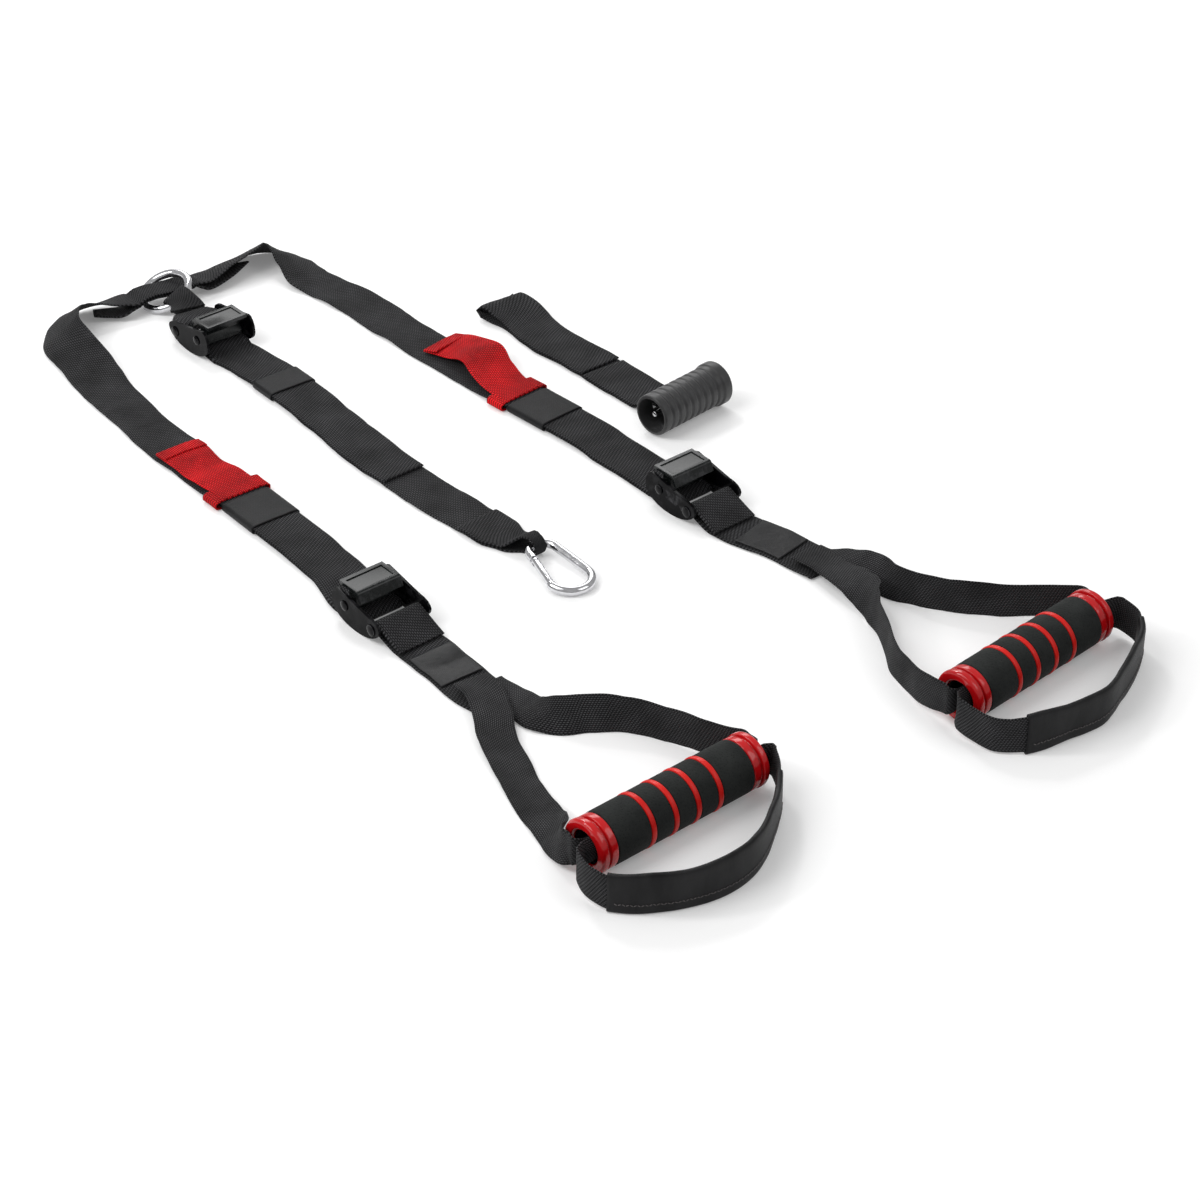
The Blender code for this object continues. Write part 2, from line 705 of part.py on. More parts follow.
def buckle_frame(name, finish, parent):
    frame = finished(name, extruded(half_moon(), -BUCKLE_OUTER / 2, BUCKLE_OUTER / 2), finish, parent)
    half = BUCKLE_INNER / 2
    long = BUCKLE_LENGTH / 2 + OVERRUN
    top = BUCKLE_HEIGHT + OVERRUN
    under = BASE_MIDDLE - BASE_THICKNESS / 2
    over = BASE_MIDDLE + BASE_THICKNESS / 2
    hollow = block((-half, -long, -OVERRUN), (half, long, top))
    combine(frame, finished(name + "_hollow", hollow, finish, parent), "DIFFERENCE")
    bridge = block((-half - OVERRUN / 4, BASE_BACK, under), (half + OVERRUN / 4, BASE_FRONT, over))
    combine(frame, finished(name + "_base", bridge, finish, parent), "UNION")
    for hole, (y, z, diameter) in {
        "pivot": (PIVOT_FORWARD, PIVOT_HEIGHT, PIVOT_DIAMETER),
        "bar": (-BAR_SETBACK, BAR_HEIGHT, BAR_DIAMETER),
    }.items():
        radius = diameter / 2 + CLEARANCE
        reach = BUCKLE_OUTER / 2 + OVERRUN
        shape = turned([(-reach, 0), (-reach, radius), (reach, radius), (reach, 0)], PIN_SEGMENTS)
        cutter = finished(f"{name}_{hole}_hole", shape, finish, parent, Matrix.Translation((0, y, z)))
        combine(frame, cutter, "DIFFERENCE")
    return frame


def riveted_pin(name, diameter, finish, parent, y, z):
    """A pin through both side plates, with a domed head outside each."""
    radius = diameter / 2
    inside = BUCKLE_OUTER / 2 + CLEARANCE
    head = radius + RIVET_FLANGE
    outside = inside + RIVET_HEAD
    end = [(outside, 0), (outside, head - RIVET_HEAD / 2), (inside + RIVET_HEAD / 2, head), (inside, head)]
    profile = [(-x, r) for x, r in end] + [(-inside, radius), (inside, radius)] + end[::-1]
    return finished(name, turned(profile, PIN_SEGMENTS), finish, parent, Matrix.Translation((0, y, z)))


def cam_outline():
    """The cam's toothed underside, closer to its pin towards the window, with the web that carries the cover."""
    steps = 4 * CAM_TEETH
    points = []
    for i in range(steps + 1):
        angle = math.radians(200 + 150 * i / steps)
        radius = CAM_RADIUS - CAM_ECCENTRICITY * max(0.0, -math.cos(angle))
        tooth = CAM_TOOTH if i % 4 in (2, 3) else 0
        points.append(((radius - tooth) * math.cos(angle), (radius - tooth) * math.sin(angle)))
    web_top = LEVER_UNDER + LEVER_PLATE / 2
    return points + [(LEVER_WEB / 2, CAM_RADIUS / 2), (LEVER_WEB / 2, web_top), (-LEVER_WEB / 2, web_top)]


def cover_outline():
    """The lever's cover plate, with its rounded end turned down as a lip over the window."""
    lip_foot = LEVER_TOP - LEVER_LIP_DROP
    back = -LEVER_BACK
    bend = arc(back + LEVER_BEND, LEVER_TOP - LEVER_BEND, LEVER_BEND, LEVER_BEND, 90, 150, 3)
    outer = [(LEVER_FRONT, LEVER_TOP)] + bend + [(back - LEVER_LIP_REACH, lip_foot)]
    inner = [(back - LEVER_LIP_REACH + LEVER_PLATE * 0.8, lip_foot), (back + LEVER_PLATE, LEVER_UNDER)]
    return outer + inner + [(LEVER_FRONT, LEVER_UNDER)]


def cam_lever(name, finish, parent):
    """The lever's origin is on its pin."""
    spot = Matrix.Translation((0, PIVOT_FORWARD, PIVOT_HEIGHT))
    half = BUCKLE_INNER / 2 - LEVER_SIDE_GAP
    cam_half = BUCKLE_INNER / 2 - CAM_SIDE_GAP
    lever = finished(name, extruded(cover_outline(), -half, half), finish, parent, spot)
    cam = finished(name + "_cam", extruded(cam_outline(), -cam_half, cam_half), finish, parent, spot)
    combine(lever, cam, "UNION")
    reach = half + OVERRUN
    radius = PIVOT_DIAMETER / 2 + CLEARANCE
    bore = turned([(-reach, 0), (-reach, radius), (reach, radius), (reach, 0)], PIN_SEGMENTS)
    combine(lever, finished(name + "_bore", bore, finish, parent, spot), "DIFFERENCE")
    low = (-half + LEVER_RIM, -LEVER_BACK + LEVER_RIM + LEVER_BEND / 2, LEVER_TOP - LEVER_PANEL_DEPTH)
    high = (half - LEVER_RIM, LEVER_FRONT - LEVER_RIM, LEVER_TOP + OVERRUN)
    combine(lever, finished(name + "_panel", block(low, high), finish, parent, spot), "DIFFERENCE")
    return lever


def cam_spring(name, finish, parent):
    """Torsion spring round the pin, between the cam and one side plate."""
    radius = PIVOT_DIAMETER / 2 + CLEARANCE + SPRING_WIRE / 2
    pitch = SPRING_WIRE + CLEARANCE / 4
    start = BUCKLE_INNER / 2 - CAM_SIDE_GAP + CLEARANCE + SPRING_WIRE / 2
    points = []
    per_turn = 8
    for i in range(SPRING_TURNS * per_turn + 1):
        angle = 2 * math.pi * i / per_turn
        x = start + pitch * i / per_turn
        points.append(Vector((x, radius * math.cos(angle), radius * math.sin(angle))))
    first = points[0] - Vector((0, 0, SPRING_LEG / 2))
    last = points[-1] + Vector((0, 0, SPRING_LEG))
    shape = rod([first] + points + [last], SPRING_WIRE / 2, 5, ACROSS)
    return finished(name, shape, finish, parent, Matrix.Translation((0, PIVOT_FORWARD, PIVOT_HEIGHT)))


def cam_buckle(side, place, finishes):
    held = empty("buckle_" + side, place)
    buckle_frame("buckle_frame_" + side, finishes["black_metal"], held)
    cam_lever("cam_lever_" + side, finishes["black_metal"], held)
    riveted_pin(
        "pivot_pin_" + side, PIVOT_DIAMETER, finishes["dark_steel"], held, PIVOT_FORWARD, PIVOT_HEIGHT
    )
    riveted_pin("webbing_bar_" + side, BAR_DIAMETER, finishes["dark_steel"], held, -BAR_SETBACK, BAR_HEIGHT)
    cam_spring("cam_spring_" + side, finishes["spring_steel"], held)


def through_buckle(place, across):
    """Stations of the strap that comes in along the floor, turns round the base and leaves on top of itself."""
    end = BUCKLE_LENGTH / 2
    width = WEBBING_WIDTH
    tail = WEBBING_THICKNESS / 2 + LAYER
    return (
        [at(place, 0, end, WEBBING_THICKNESS / 2, width, across)]
        + [at(place, 0, BASE_FRONT, BASE_MIDDLE - BASE_TURN, width, across)]
        + turned_round(place, BASE_BACK, BASE_MIDDLE, BASE_TURN, 270, 90, width, 6, Vector(), across)
        + [at(place, 0, BASE_FRONT, TAIL_IN_BUCKLE, width, across)]
        + [at(place, 0, (BASE_FRONT + end) / 2, (TAIL_IN_BUCKLE + tail) / 2, width, across)]
        + [at(place, 0, end, tail, width, across)]
    )


def round_bar(place, width):
    """Stations round the fixed bar, from above it to below it."""
    return turned_round(place, -BAR_SETBACK, BAR_HEIGHT, BAR_TURN, 110, -110, width, 6)


# Handle grips

GRIP_HEIGHT = CAP_DIAMETER / 2
CORE_RADIUS = BORE_DIAMETER / 2 + CORE_WALL


def cap_profile():
    """End cap from its mouth: rolled lip, groove, thinner rim against the foam, and a socket for the core."""
    end = GRIP_LENGTH / 2
    outer = CAP_DIAMETER / 2
    bore = BORE_DIAMETER / 2
    lip = end - CAP_LIP
    rim = lip - CAP_GROOVE
    start = end - CAP_LENGTH
    edge = CAP_LIP / 3
    seat = CORE_RADIUS + CLEARANCE
    shoulder = end - CAP_WALL
    return [
        (end, bore + edge),
        (end, outer - edge),
        (end - edge / 3, outer - edge / 3),
        (end - edge, outer),
        (lip, outer),
        (lip, outer - CAP_GROOVE_DEPTH),
        (rim, outer - CAP_GROOVE_DEPTH),
        (rim, outer - edge / 3),
        (start, outer - edge / 3),
        (start, seat),
        (shoulder, seat),
        (shoulder, bore),
        (end - edge, bore),
    ]


def foam_profile():
    """Foam sleeve with a groove for each band."""
    half = GRIP_LENGTH / 2 - CAP_LENGTH - CLEARANCE
    outer = FOAM_DIAMETER / 2
    floor = outer - BAND_DEPTH - CLEARANCE
    profile = [(-half, CORE_RADIUS + CLEARANCE), (-half, outer)]
    for middle in band_places():
        near = middle - BAND_WIDTH / 2 - CLEARANCE
        far = middle + BAND_WIDTH / 2 + CLEARANCE
        profile += [(near, outer), (near, floor), (far, floor), (far, outer)]
    return profile + [(half, outer), (half, CORE_RADIUS + CLEARANCE)]


def band_places():
    return [BAND_SPACING * (k - 1.5) for k in range(4)]


def grip(side, held, finishes):
    """Core tube, foam, four bands and an end cap at each mouth, all turning about the grip's X axis."""
    core_half = GRIP_LENGTH / 2 - CAP_WALL - CLEARANCE
    bore = BORE_DIAMETER / 2
    core_profile = [(-core_half, bore), (-core_half, CORE_RADIUS), (core_half, CORE_RADIUS), (core_half, bore)]
    core = turned(core_profile, PIN_SEGMENTS)
    finished("grip_core_" + side, core, finishes["black_plastic"], held)
    finished("foam_grip_" + side, turned(foam_profile()), finishes["foam"], held)
    outer = FOAM_DIAMETER / 2 + BAND_PROUD
    inner = FOAM_DIAMETER / 2 - BAND_DEPTH
    for number, middle in enumerate(band_places(), 1):
        near = middle - BAND_WIDTH / 2
        far = middle + BAND_WIDTH / 2
        band = turned([(near, inner), (near, outer), (far, outer), (far, inner)])
        finished(f"grip_band_{side}_{number}", band, finishes["red_plastic"], held)
    finished(f"end_cap_{side}_far", turned(cap_profile()), finishes["red_plastic"], held)
    near_cap = turned([(-x, radius) for x, radius in cap_profile()])
    finished(f"end_cap_{side}_near", near_cap, finishes["red_plastic"], held)


# Handle webbing and foot loop

BORE_WEBBING = BORE_DIAMETER * 0.64
LOOP_ARC_WIDTH = BORE_DIAMETER * 0.80
LOOP_ARC_DEPTH = BORE_DIAMETER * 0.31
LOOP_ARC_ASIDE = BORE_DIAMETER * 0.105


def strand_through_grip(place):
    """The handle webbing, gathered on the grip's axis, from the near mouth to the far one."""
    end = GRIP_LENGTH / 2
    wide = HANDLE_WEBBING_WIDTH
    places = (
        (end + MOUTH_REACH, MOUTH_REACH, 0.92),
        (end + MOUTH_REACH * 1.15, MOUTH_REACH * 0.35, 0.84),
        (end + MOUTH_REACH * 0.6, -MOUTH_REACH * 0.05, 0.74),
    )
    near = [at(place, -x, y, 0, wide * share, UP) for x, y, share in places]
    inside = [at(place, x * end, 0, 0, BORE_WEBBING, UP) for x in (-0.97, -0.8, 0, 0.8, 0.97)]
    far = [at(place, x, y, 0, wide * share, UP) for x, y, share in places[::-1]]
    return near + inside + far


def loop_through_grip(place):
    """The foot loop's webbing, curled against the bore's wall on the side away from the strand."""
    end = GRIP_LENGTH / 2
    wide = HANDLE_WEBBING_WIDTH
    curl = Vector((0, -LOOP_ARC_DEPTH, 0))
    out = end + MOUTH_REACH
    near = [at(place, -out - MOUTH_REACH * 0.2, -MOUTH_REACH * 0.9, 0, wide * 0.88, UP, curl / 5)]
    far = [at(place, out + MOUTH_REACH * 0.2, -MOUTH_REACH * 0.9, 0, wide * 0.88, UP, curl / 5)]
    inside = [at(place, x, -LOOP_ARC_ASIDE, 0, LOOP_ARC_WIDTH, UP, curl) for x in (-end, -end / 2, 0, end / 2, end)]
    return near + inside + far


def handle(side, held, bar_place, near_rows, far_rows, loop_rows, sleeve_shares, fixed_rows, finishes):
    """Webbing from the buckle's bar, the strand that the grip turns on, and the foot loop in its sleeve."""
    webbing = finishes["webbing"]
    fixed_end = BAR_SETBACK + FIXED_TURN_LENGTH
    fixed = (
        [at(bar_place, 0, -fixed_end, WEBBING_THICKNESS / 2 + LAYER, WEBBING_WIDTH)]
        + round_bar(bar_place, WEBBING_WIDTH)
        + [at(bar_place, 0, -fixed_end + FIXED_TURN_LENGTH / 4, WEBBING_THICKNESS / 2, WEBBING_WIDTH)]
        + on_floor(fixed_rows, WEBBING_WIDTH, WEBBING_THICKNESS, -1)
    )
    ribbon("fixed_webbing_" + side, fixed, WEBBING_THICKNESS, webbing)
    wide = HANDLE_WEBBING_WIDTH
    thick = HANDLE_WEBBING_THICKNESS
    place = held.matrix_basis
    middle = place.translation.x
    near = on_floor(near_rows, wide, thick, -1, middle, GRIP_LENGTH)
    far = on_floor(far_rows, wide, thick, 1, middle, GRIP_LENGTH)
    ribbon("handle_webbing_" + side, near + strand_through_grip(place) + far, thick, webbing, 2)
    path = smoothed(on_floor(loop_rows, wide, thick, 1, middle, GRIP_LENGTH))
    half = len(path) // 2
    loop = path[:half][::-1] + loop_through_grip(place) + path[half + 1 :][::-1]
    ribbon("foot_loop_" + side, loop, thick, webbing, 4, held)
    first, last = (round(share * (len(path) - 1)) for share in sleeve_shares)
    around = [spot._replace(width=spot.width + 2 * CLEARANCE) for spot in path[first : last + 1]]
    inner = thick + 2 * CLEARANCE
    sleeve("loop_sleeve_" + side, around, inner, SLEEVE_WALL, finishes["sleeve"], held)


def label(side, rows, finishes):
    stations = on_floor(rows, LABEL_WIDTH, LABEL_THICKNESS, -1)
    lift = Vector((0, 0, LAYER))
    stations = [spot._replace(point=spot.point + lift) for spot in stations]
    ribbon("label_" + side, stations, LABEL_THICKNESS, finishes["label"])


# Leg straps, ring and anchor strap

RING_RADIUS = (RING_DIAMETER - RING_WIRE) / 2
RING_HEIGHT = RING_WIRE / 2 + RING_RADIUS * math.sin(math.radians(RING_TILT))
NECK_RADIUS = (HOOK_NECK_WIDTH - HOOK_WIRE) / 2
EYE_WIDTH = WEBBING_WIDTH * EYE_GATHER_SHARE
EYE_SAG = NECK_RADIUS - math.sqrt(NECK_RADIUS**2 - EYE_WIDTH**2 / 4)
EYE_WIRE_REACH = HOOK_WIRE / 2 * NECK_RADIUS / (NECK_RADIUS - EYE_SAG) + EYE_SAG
EYE_TURN = EYE_WIRE_REACH + CLEARANCE + WEBBING_THICKNESS / 2
HOOK_EYE_HEIGHT = WEBBING_THICKNESS / 2 + EYE_TURN


def ring(held, finishes):
    """Welded ring, turning about its own Z axis."""
    shape = bmesh.new()
    around, sides = 36, 10
    loops = []
    for i in range(around):
        turn = Matrix.Rotation(2 * math.pi * i / around, 3, "Z")
        loop = []
        for k in range(sides):
            angle = 2 * math.pi * k / sides
            radius = RING_RADIUS + RING_WIRE / 2 * math.cos(angle)
            loop.append(shape.verts.new(turn @ Vector((radius, 0, RING_WIRE / 2 * math.sin(angle)))))
        loops.append(loop)
    for one, two in zip(loops, loops[1:] + loops[:1]):
        for k in range(sides):
            after = (k + 1) % sides
            shape.faces.new((one[k], one[after], two[after], two[k]))
    finished("strap_ring", shape, finishes["polished_steel"], held)


def through_ring(place, layer):
    """Webbing gathered through the ring: over its low rim, down through the hole and under its high rim."""
    stations = []
    for x_share, rise_share in RING_PASSAGE_SHARES:
        x = x_share * RING_DIAMETER
        y = RING_ASIDE_SHARE * RING_DIAMETER
        spot = place.translation + Vector((x, y, rise_share * RING_WIRE + layer * LAYER))
        width = WEBBING_WIDTH * RING_GATHER_SHARE
        stations.append(Station(spot, Vector((0, -1, 0)), width, Vector()))
    return stations


def leg_webbing(left_buckle, right_buckle, ring_place, finishes):
    """One strap from the left tail to the right tail, through both buckles and the ring."""
    width, thick = WEBBING_WIDTH, WEBBING_THICKNESS
    left_tail = on_floor(tail_rows(LEFT_LEG_SHARES, LEFT_TAIL_COUNT), width, thick, -1)
    left_leg = on_floor(LEFT_LEG_SHARES[::-1], width, thick, 1)
    right_leg = on_floor(RIGHT_LEG_SHARES, width, thick, 1)
    right_tail = on_floor(tail_rows(RIGHT_LEG_SHARES, RIGHT_TAIL_COUNT)[::-1], width, thick, -1)
    route = (
        left_tail
        + through_buckle(left_buckle, ACROSS)[::-1]
        + left_leg
        + through_ring(ring_place, RING_LIFT_SHARE)
        + right_leg
        + through_buckle(right_buckle, -ACROSS)
        + right_tail
    )
    ribbon("leg_webbing", route, thick, finishes["webbing"])
    doubler = (
        on_floor(DOUBLER_LEFT_SHARES, width, thick, 1)
        + through_ring(ring_place, 0)
        + on_floor(DOUBLER_RIGHT_SHARES, width, thick, 1)
    )
    ribbon("ring_doubler", doubler, thick, finishes["webbing"])


def tail_rows(rows, count):
    """The last rows of a strap before its buckle, one layer higher: where its tail lies."""
    return [(x, y, layer + 1, roll, wide) for x, y, layer, roll, wide in rows[-count:]]


def anchor_strap(buckle, ring_place, hook, finishes):
    """Strap from the snap hook to its buckle, with the tail on top, and the short loop from buckle to ring."""
    width, thick = WEBBING_WIDTH, WEBBING_THICKNESS
    eye_place = Matrix.Translation(hook.translation)
    eye = turned_round(eye_place, 0, 0, EYE_TURN, 90, 270, EYE_WIDTH, 8)
    collar = width * COLLAR_SHARE
    above = [at(eye_place, 0, HOOK_WIRE, EYE_TURN * COLLAR_HEIGHT_SHARE, collar)]
    below = [at(eye_place, 0, HOOK_WIRE, -EYE_TURN, collar)]
    back_rows = [(x, y, layer + 1, roll, wide) for x, y, layer, roll, wide in ANCHOR_SHARES[:EYE_COUNT]]
    eye_back = on_floor(back_rows[::-1], width, thick, -1)
    main = on_floor(ANCHOR_SHARES, width, thick, 1)
    tail = on_floor(tail_rows(ANCHOR_SHARES, ANCHOR_TAIL_COUNT)[::-1], width, thick, -1)
    route = eye_back + above + eye + below + main + through_buckle(buckle, -ACROSS) + tail
    ribbon("anchor_webbing", route, thick, finishes["webbing"])
    rim_gather = width * RIM_GATHER_SHARE
    chord = math.sqrt(RING_RADIUS**2 - rim_gather**2 / 4)
    rim_turn = RING_WIRE / 2 * RING_RADIUS / chord + CLEARANCE + thick / 2
    before_rim = -RING_RADIUS - RING_WIRE
    round_rim = (
        [at(ring_place, 0, before_rim, -rim_turn, rim_gather)]
        + turned_round(ring_place, -chord, 0, rim_turn, -90, 90, rim_gather, 6)
        + [at(ring_place, 0, before_rim, rim_turn, rim_gather)]
    )
    before_bar = -BAR_SETBACK - BAR_DIAMETER
    bar = (
        [at(buckle, 0, before_bar, BAR_HEIGHT + BAR_TURN, width, -ACROSS)]
        + [spot._replace(across=-spot.across) for spot in round_bar(buckle, width)[1:-1]]
        + [at(buckle, 0, before_bar, BAR_HEIGHT - BAR_TURN, width, -ACROSS)]
    )
    start, finish = (bar[0].point.lerp(round_rim[-1].point, share) for share in RING_SEAM_SHARES)
    wide = (width + rim_gather) / 2
    loop = (
        [Station(start - thick * UP, ACROSS, wide, Vector())]
        + bar
        + round_rim
        + [Station(finish - thick * UP, ACROSS, wide, Vector())]
    )
    ribbon("ring_loop", loop, thick, finishes["webbing"])


# Keepers and pull tabs


def strap_frame(rows, index):
    """A frame on the strap at a row: +Y along the strap away from its buckle, +X to its right."""
    here, after = (Vector((rows[k][0] * TRAINER_WIDTH, rows[k][1] * TRAINER_LENGTH, 0)) for k in (index, index + 1))
    away = (here - after).normalized()
    turn = Matrix(((away.y, away.x, 0), (-away.x, away.y, 0), (0, 0, 1))).to_4x4()
    return Matrix.Translation((here + after) / 2) @ turn


def keeper(name, place, length, finishes):
    """Loop round the strap and its tail, free to slide along them."""
    inner = 2 * WEBBING_THICKNESS + LAYER_GAP + 2 * CLEARANCE
    middle = KEEPER_WALL + inner / 2
    held = empty(name + "_slide", place @ Matrix.Translation((0, 0, middle)))
    wide = WEBBING_WIDTH + 2 * CLEARANCE
    ends = [at(held.matrix_basis, 0, y, 0, wide) for y in (-length / 2, length / 2)]
    sleeve(name, ends, inner, KEEPER_WALL, finishes["keeper"], held)


def pull_tab(side, place, rows, finishes):
    """Red tab: a flat loop round strap and tail, and a ribbon with a folded hem that runs on past the tail."""
    inner = 2 * WEBBING_THICKNESS + LAYER_GAP + 2 * CLEARANCE
    lift = KEEPER_WALL + inner / 2
    wide = WEBBING_WIDTH + 2 * TAB_EAR_OVERHANG
    ends = [at(place, 0, y, lift, wide) for y in (-TAB_EAR_LENGTH / 2, TAB_EAR_LENGTH / 2)]
    ears = sleeve("pull_tab_" + side, ends, inner, KEEPER_WALL, finishes["red_webbing"])
    top = lift + inner / 2 + TAB_THICKNESS / 2
    start = [at(place, 0, y, top, TAB_WIDTH) for y in (-TAB_EAR_LENGTH / 2 + CLEARANCE, TAB_EAR_LENGTH / 2)]
    stations = start + on_floor(rows, TAB_WIDTH, TAB_THICKNESS, 1)
    tongue = ribbon(f"pull_tab_{side}_tongue", stations, TAB_THICKNESS, finishes["red_webbing"])
    combine(ears, tongue, "UNION")
    last = stations[-1]
    back = (stations[-2].point - last.point).normalized() * TAB_HEM
    fold = TAB_THICKNESS * TAB_HEM_RISE_SHARE * UP
    hem = [last._replace(point=last.point + fold), last._replace(point=last.point + back + fold)]
    combine(ears, ribbon(f"pull_tab_{side}_hem", hem, TAB_THICKNESS, finishes["red_webbing"]), "UNION")


# Snap hook

BELLY_RADIUS = (HOOK_BELLY_WIDTH - HOOK_WIRE) / 2
BELLY_CENTRE = Vector((NECK_RADIUS - BELLY_RADIUS, -(HOOK_LENGTH - HOOK_WIRE) + BELLY_RADIUS, 0))
GATE_TOP = Vector((-NECK_RADIUS, -NECK_RADIUS, 0))
GATE_FOOT = Vector((BELLY_CENTRE.x - BELLY_RADIUS, BELLY_CENTRE.y, 0))


def hook_line():
    """Centre line of the pear-shaped wire, from the gate's hinge round the neck and belly to the nose."""
    hinge = GATE_TOP.lerp(GATE_FOOT, GATE_HINGE_SHARE)
    neck = [Vector((x, y - NECK_RADIUS, 0)) for x, y in arc(0, 0, NECK_RADIUS, NECK_RADIUS, 180, 0, 9)]
    belly = [BELLY_CENTRE + Vector((x, y, 0)) for x, y in arc(0, 0, BELLY_RADIUS, BELLY_RADIUS, 0, -180, 12)]
    nose = GATE_FOOT.lerp(GATE_TOP, GATE_NOSE_SHARE)
    spine = [neck[-1].lerp(belly[0], 0.5)]
    return [hinge] + neck + spine + belly + [nose]


def snap_hook(held, gate_held, finishes):
    """Body with a tongue for the gate, the gate itself, and the pin it turns on."""
    body = finished("snap_hook", rod(hook_line(), HOOK_WIRE / 2, 10, UP), finishes["polished_steel"], held)
    axis = (GATE_FOOT - GATE_TOP).normalized()
    lean = Matrix.Rotation(math.atan2(axis.x, -axis.y), 4, "Z")
    hinge = GATE_TOP.lerp(GATE_FOOT, GATE_HINGE_SHARE)
    pin_spot = hinge + axis * GATE_DIAMETER * GATE_HINGE_ASIDE_SHARE
    seat = Matrix.Translation(pin_spot) @ lean
    half = GATE_DIAMETER * 0.36
    tongue = block((-half, -half, -GATE_TONGUE / 2), (half, GATE_DIAMETER, GATE_TONGUE / 2))
    combine(body, finished("snap_hook_tongue", tongue, finishes["polished_steel"], held, seat), "UNION")
    upright = Matrix.Rotation(math.radians(90), 4, "Y")
    radius = GATE_PIN_DIAMETER / 2
    reach = GATE_DIAMETER
    hole_shape = [(-reach, 0), (-reach, radius + CLEARANCE / 2), (reach, radius + CLEARANCE / 2), (reach, 0)]
    hole = finished("snap_hook_hole", turned(hole_shape, 12), finishes["polished_steel"], held, seat @ upright)
    combine(body, hole, "DIFFERENCE")
    nose = GATE_FOOT.lerp(GATE_TOP, GATE_NOSE_SHARE)
    length = (nose - pin_spot).length - GATE_GAP
    top = GATE_DIAMETER * 0.42
    points = [Vector((0, top, 0)), Vector((0, -length / 2, 0)), Vector((0, -length, 0))]
    gate = finished("hook_gate", rod(points, GATE_DIAMETER / 2, 10, UP), finishes["polished_steel"], gate_held)
    wide = GATE_DIAMETER
    slot_half = GATE_TONGUE / 2 + CLEARANCE
    slot = block((-wide, -wide * 0.6, -slot_half), (wide, wide, slot_half))
    combine(gate, finished("hook_gate_slot", slot, finishes["polished_steel"], gate_held), "DIFFERENCE")
    bore = finished("hook_gate_hole", turned(hole_shape, 12), finishes["polished_steel"], gate_held, upright)
    combine(gate, bore, "DIFFERENCE")
    half_pin = GATE_DIAMETER / 2
    pin = turned([(-half_pin, 0), (-half_pin, radius), (half_pin, radius), (half_pin, 0)], 12)
    finished("gate_pin", pin, finishes["dark_steel"], held, seat @ upright)


# Door anchor

TUBE_HEIGHT = TUBE_DIAMETER / 2 + TUBE_FLARE


def tube_profile():
    """Tube from its plain mouth, over its ribs, to the flared end, then back down its bore."""
    half = TUBE_LENGTH / 2
    outer = TUBE_DIAMETER / 2
    bore = outer - TUBE_WALL
    low = outer - TUBE_RIB_HEIGHT
    start = -half + TUBE_PLAIN_END
    end = half - TUBE_FLARE_LENGTH
    pitch = (end - start) / TUBE_RIBS
    profile = [(-half, outer - TUBE_RIB_HEIGHT), (-half + TUBE_RIB_HEIGHT, outer), (start, outer)]
    for k in range(TUBE_RIBS):
        x = start + k * pitch
        profile += [(x + pitch * 0.12, low), (x + pitch * 0.3, low), (x + pitch * 0.45, outer)]
        profile += [(x + pitch * 0.95, outer)]
    flare = outer + TUBE_FLARE
    profile += [(end + TUBE_FLARE, flare), (half - TUBE_FLARE, flare), (half, outer)]
    return profile + [(half, bore), (-half, bore)]


def door_anchor(held, finishes):
    """Ribbed tube with a slot in its side, the pin inside it, and the webbing that loops round the pin."""
    tube = finished("door_tube", turned(tube_profile(), 20), finishes["black_plastic"], held)
    slot_half = WEBBING_WIDTH / 2 + 4 * CLEARANCE
    low = (-slot_half, TUBE_DIAMETER / 4, -TUBE_SLOT_HEIGHT / 2)
    high = (slot_half, TUBE_DIAMETER / 2 + OVERRUN, TUBE_SLOT_HEIGHT / 2)
    combine(tube, finished("door_tube_slot", block(low, high), finishes["black_plastic"], held), "DIFFERENCE")
    radius = DOOR_PIN_DIAMETER / 2
    half = TUBE_LENGTH / 2 - TUBE_PLAIN_END / 2
    pin = turned([(-half, 0), (-half, radius), (half, radius), (half, 0)], 12)
    finished("door_pin", pin, finishes["polished_steel"], held)
    place = held.matrix_basis
    turn = radius + CLEARANCE + WEBBING_THICKNESS / 2
    width, thick = WEBBING_WIDTH, WEBBING_THICKNESS
    upper_rows = [(x, y, layer + 1, roll, wide) for x, y, layer, roll, wide in DOOR_SHARES]
    slot_out = TUBE_DIAMETER / 2 + TUBE_WALL
    joint = DOOR_JOINT_INDEX
    start = on_floor(upper_rows[:joint][::-1], width, thick, -1)
    into = [at(place, 0, slot_out, -thick, width)]
    around = turned_round(place, 0, 0, turn, 90, 270, width, 6)
    out = [at(place, 0, slot_out, -thick - DOOR_STRAND_SPACING, width)]
    lower = on_floor(DOOR_SHARES, width, thick, 1)
    tip = [
        Station(Vector((x * TRAINER_WIDTH, y * TRAINER_LENGTH, rise * WEBBING_WIDTH)), lower[-1].across, width, Vector())
        for x, y, rise in DOOR_FOLD_SHARES
    ]
    back = on_floor(upper_rows[joint:][::-1], width, thick, -1)
    back[0] = back[0]._replace(point=back[0].point + Vector((0, 0, DOOR_FOLD_RISE)))
    stations = start + into + around + out + lower + tip + back
    ribbon("door_webbing", stations, thick, finishes["webbing"], 1, held)


# The whole trainer


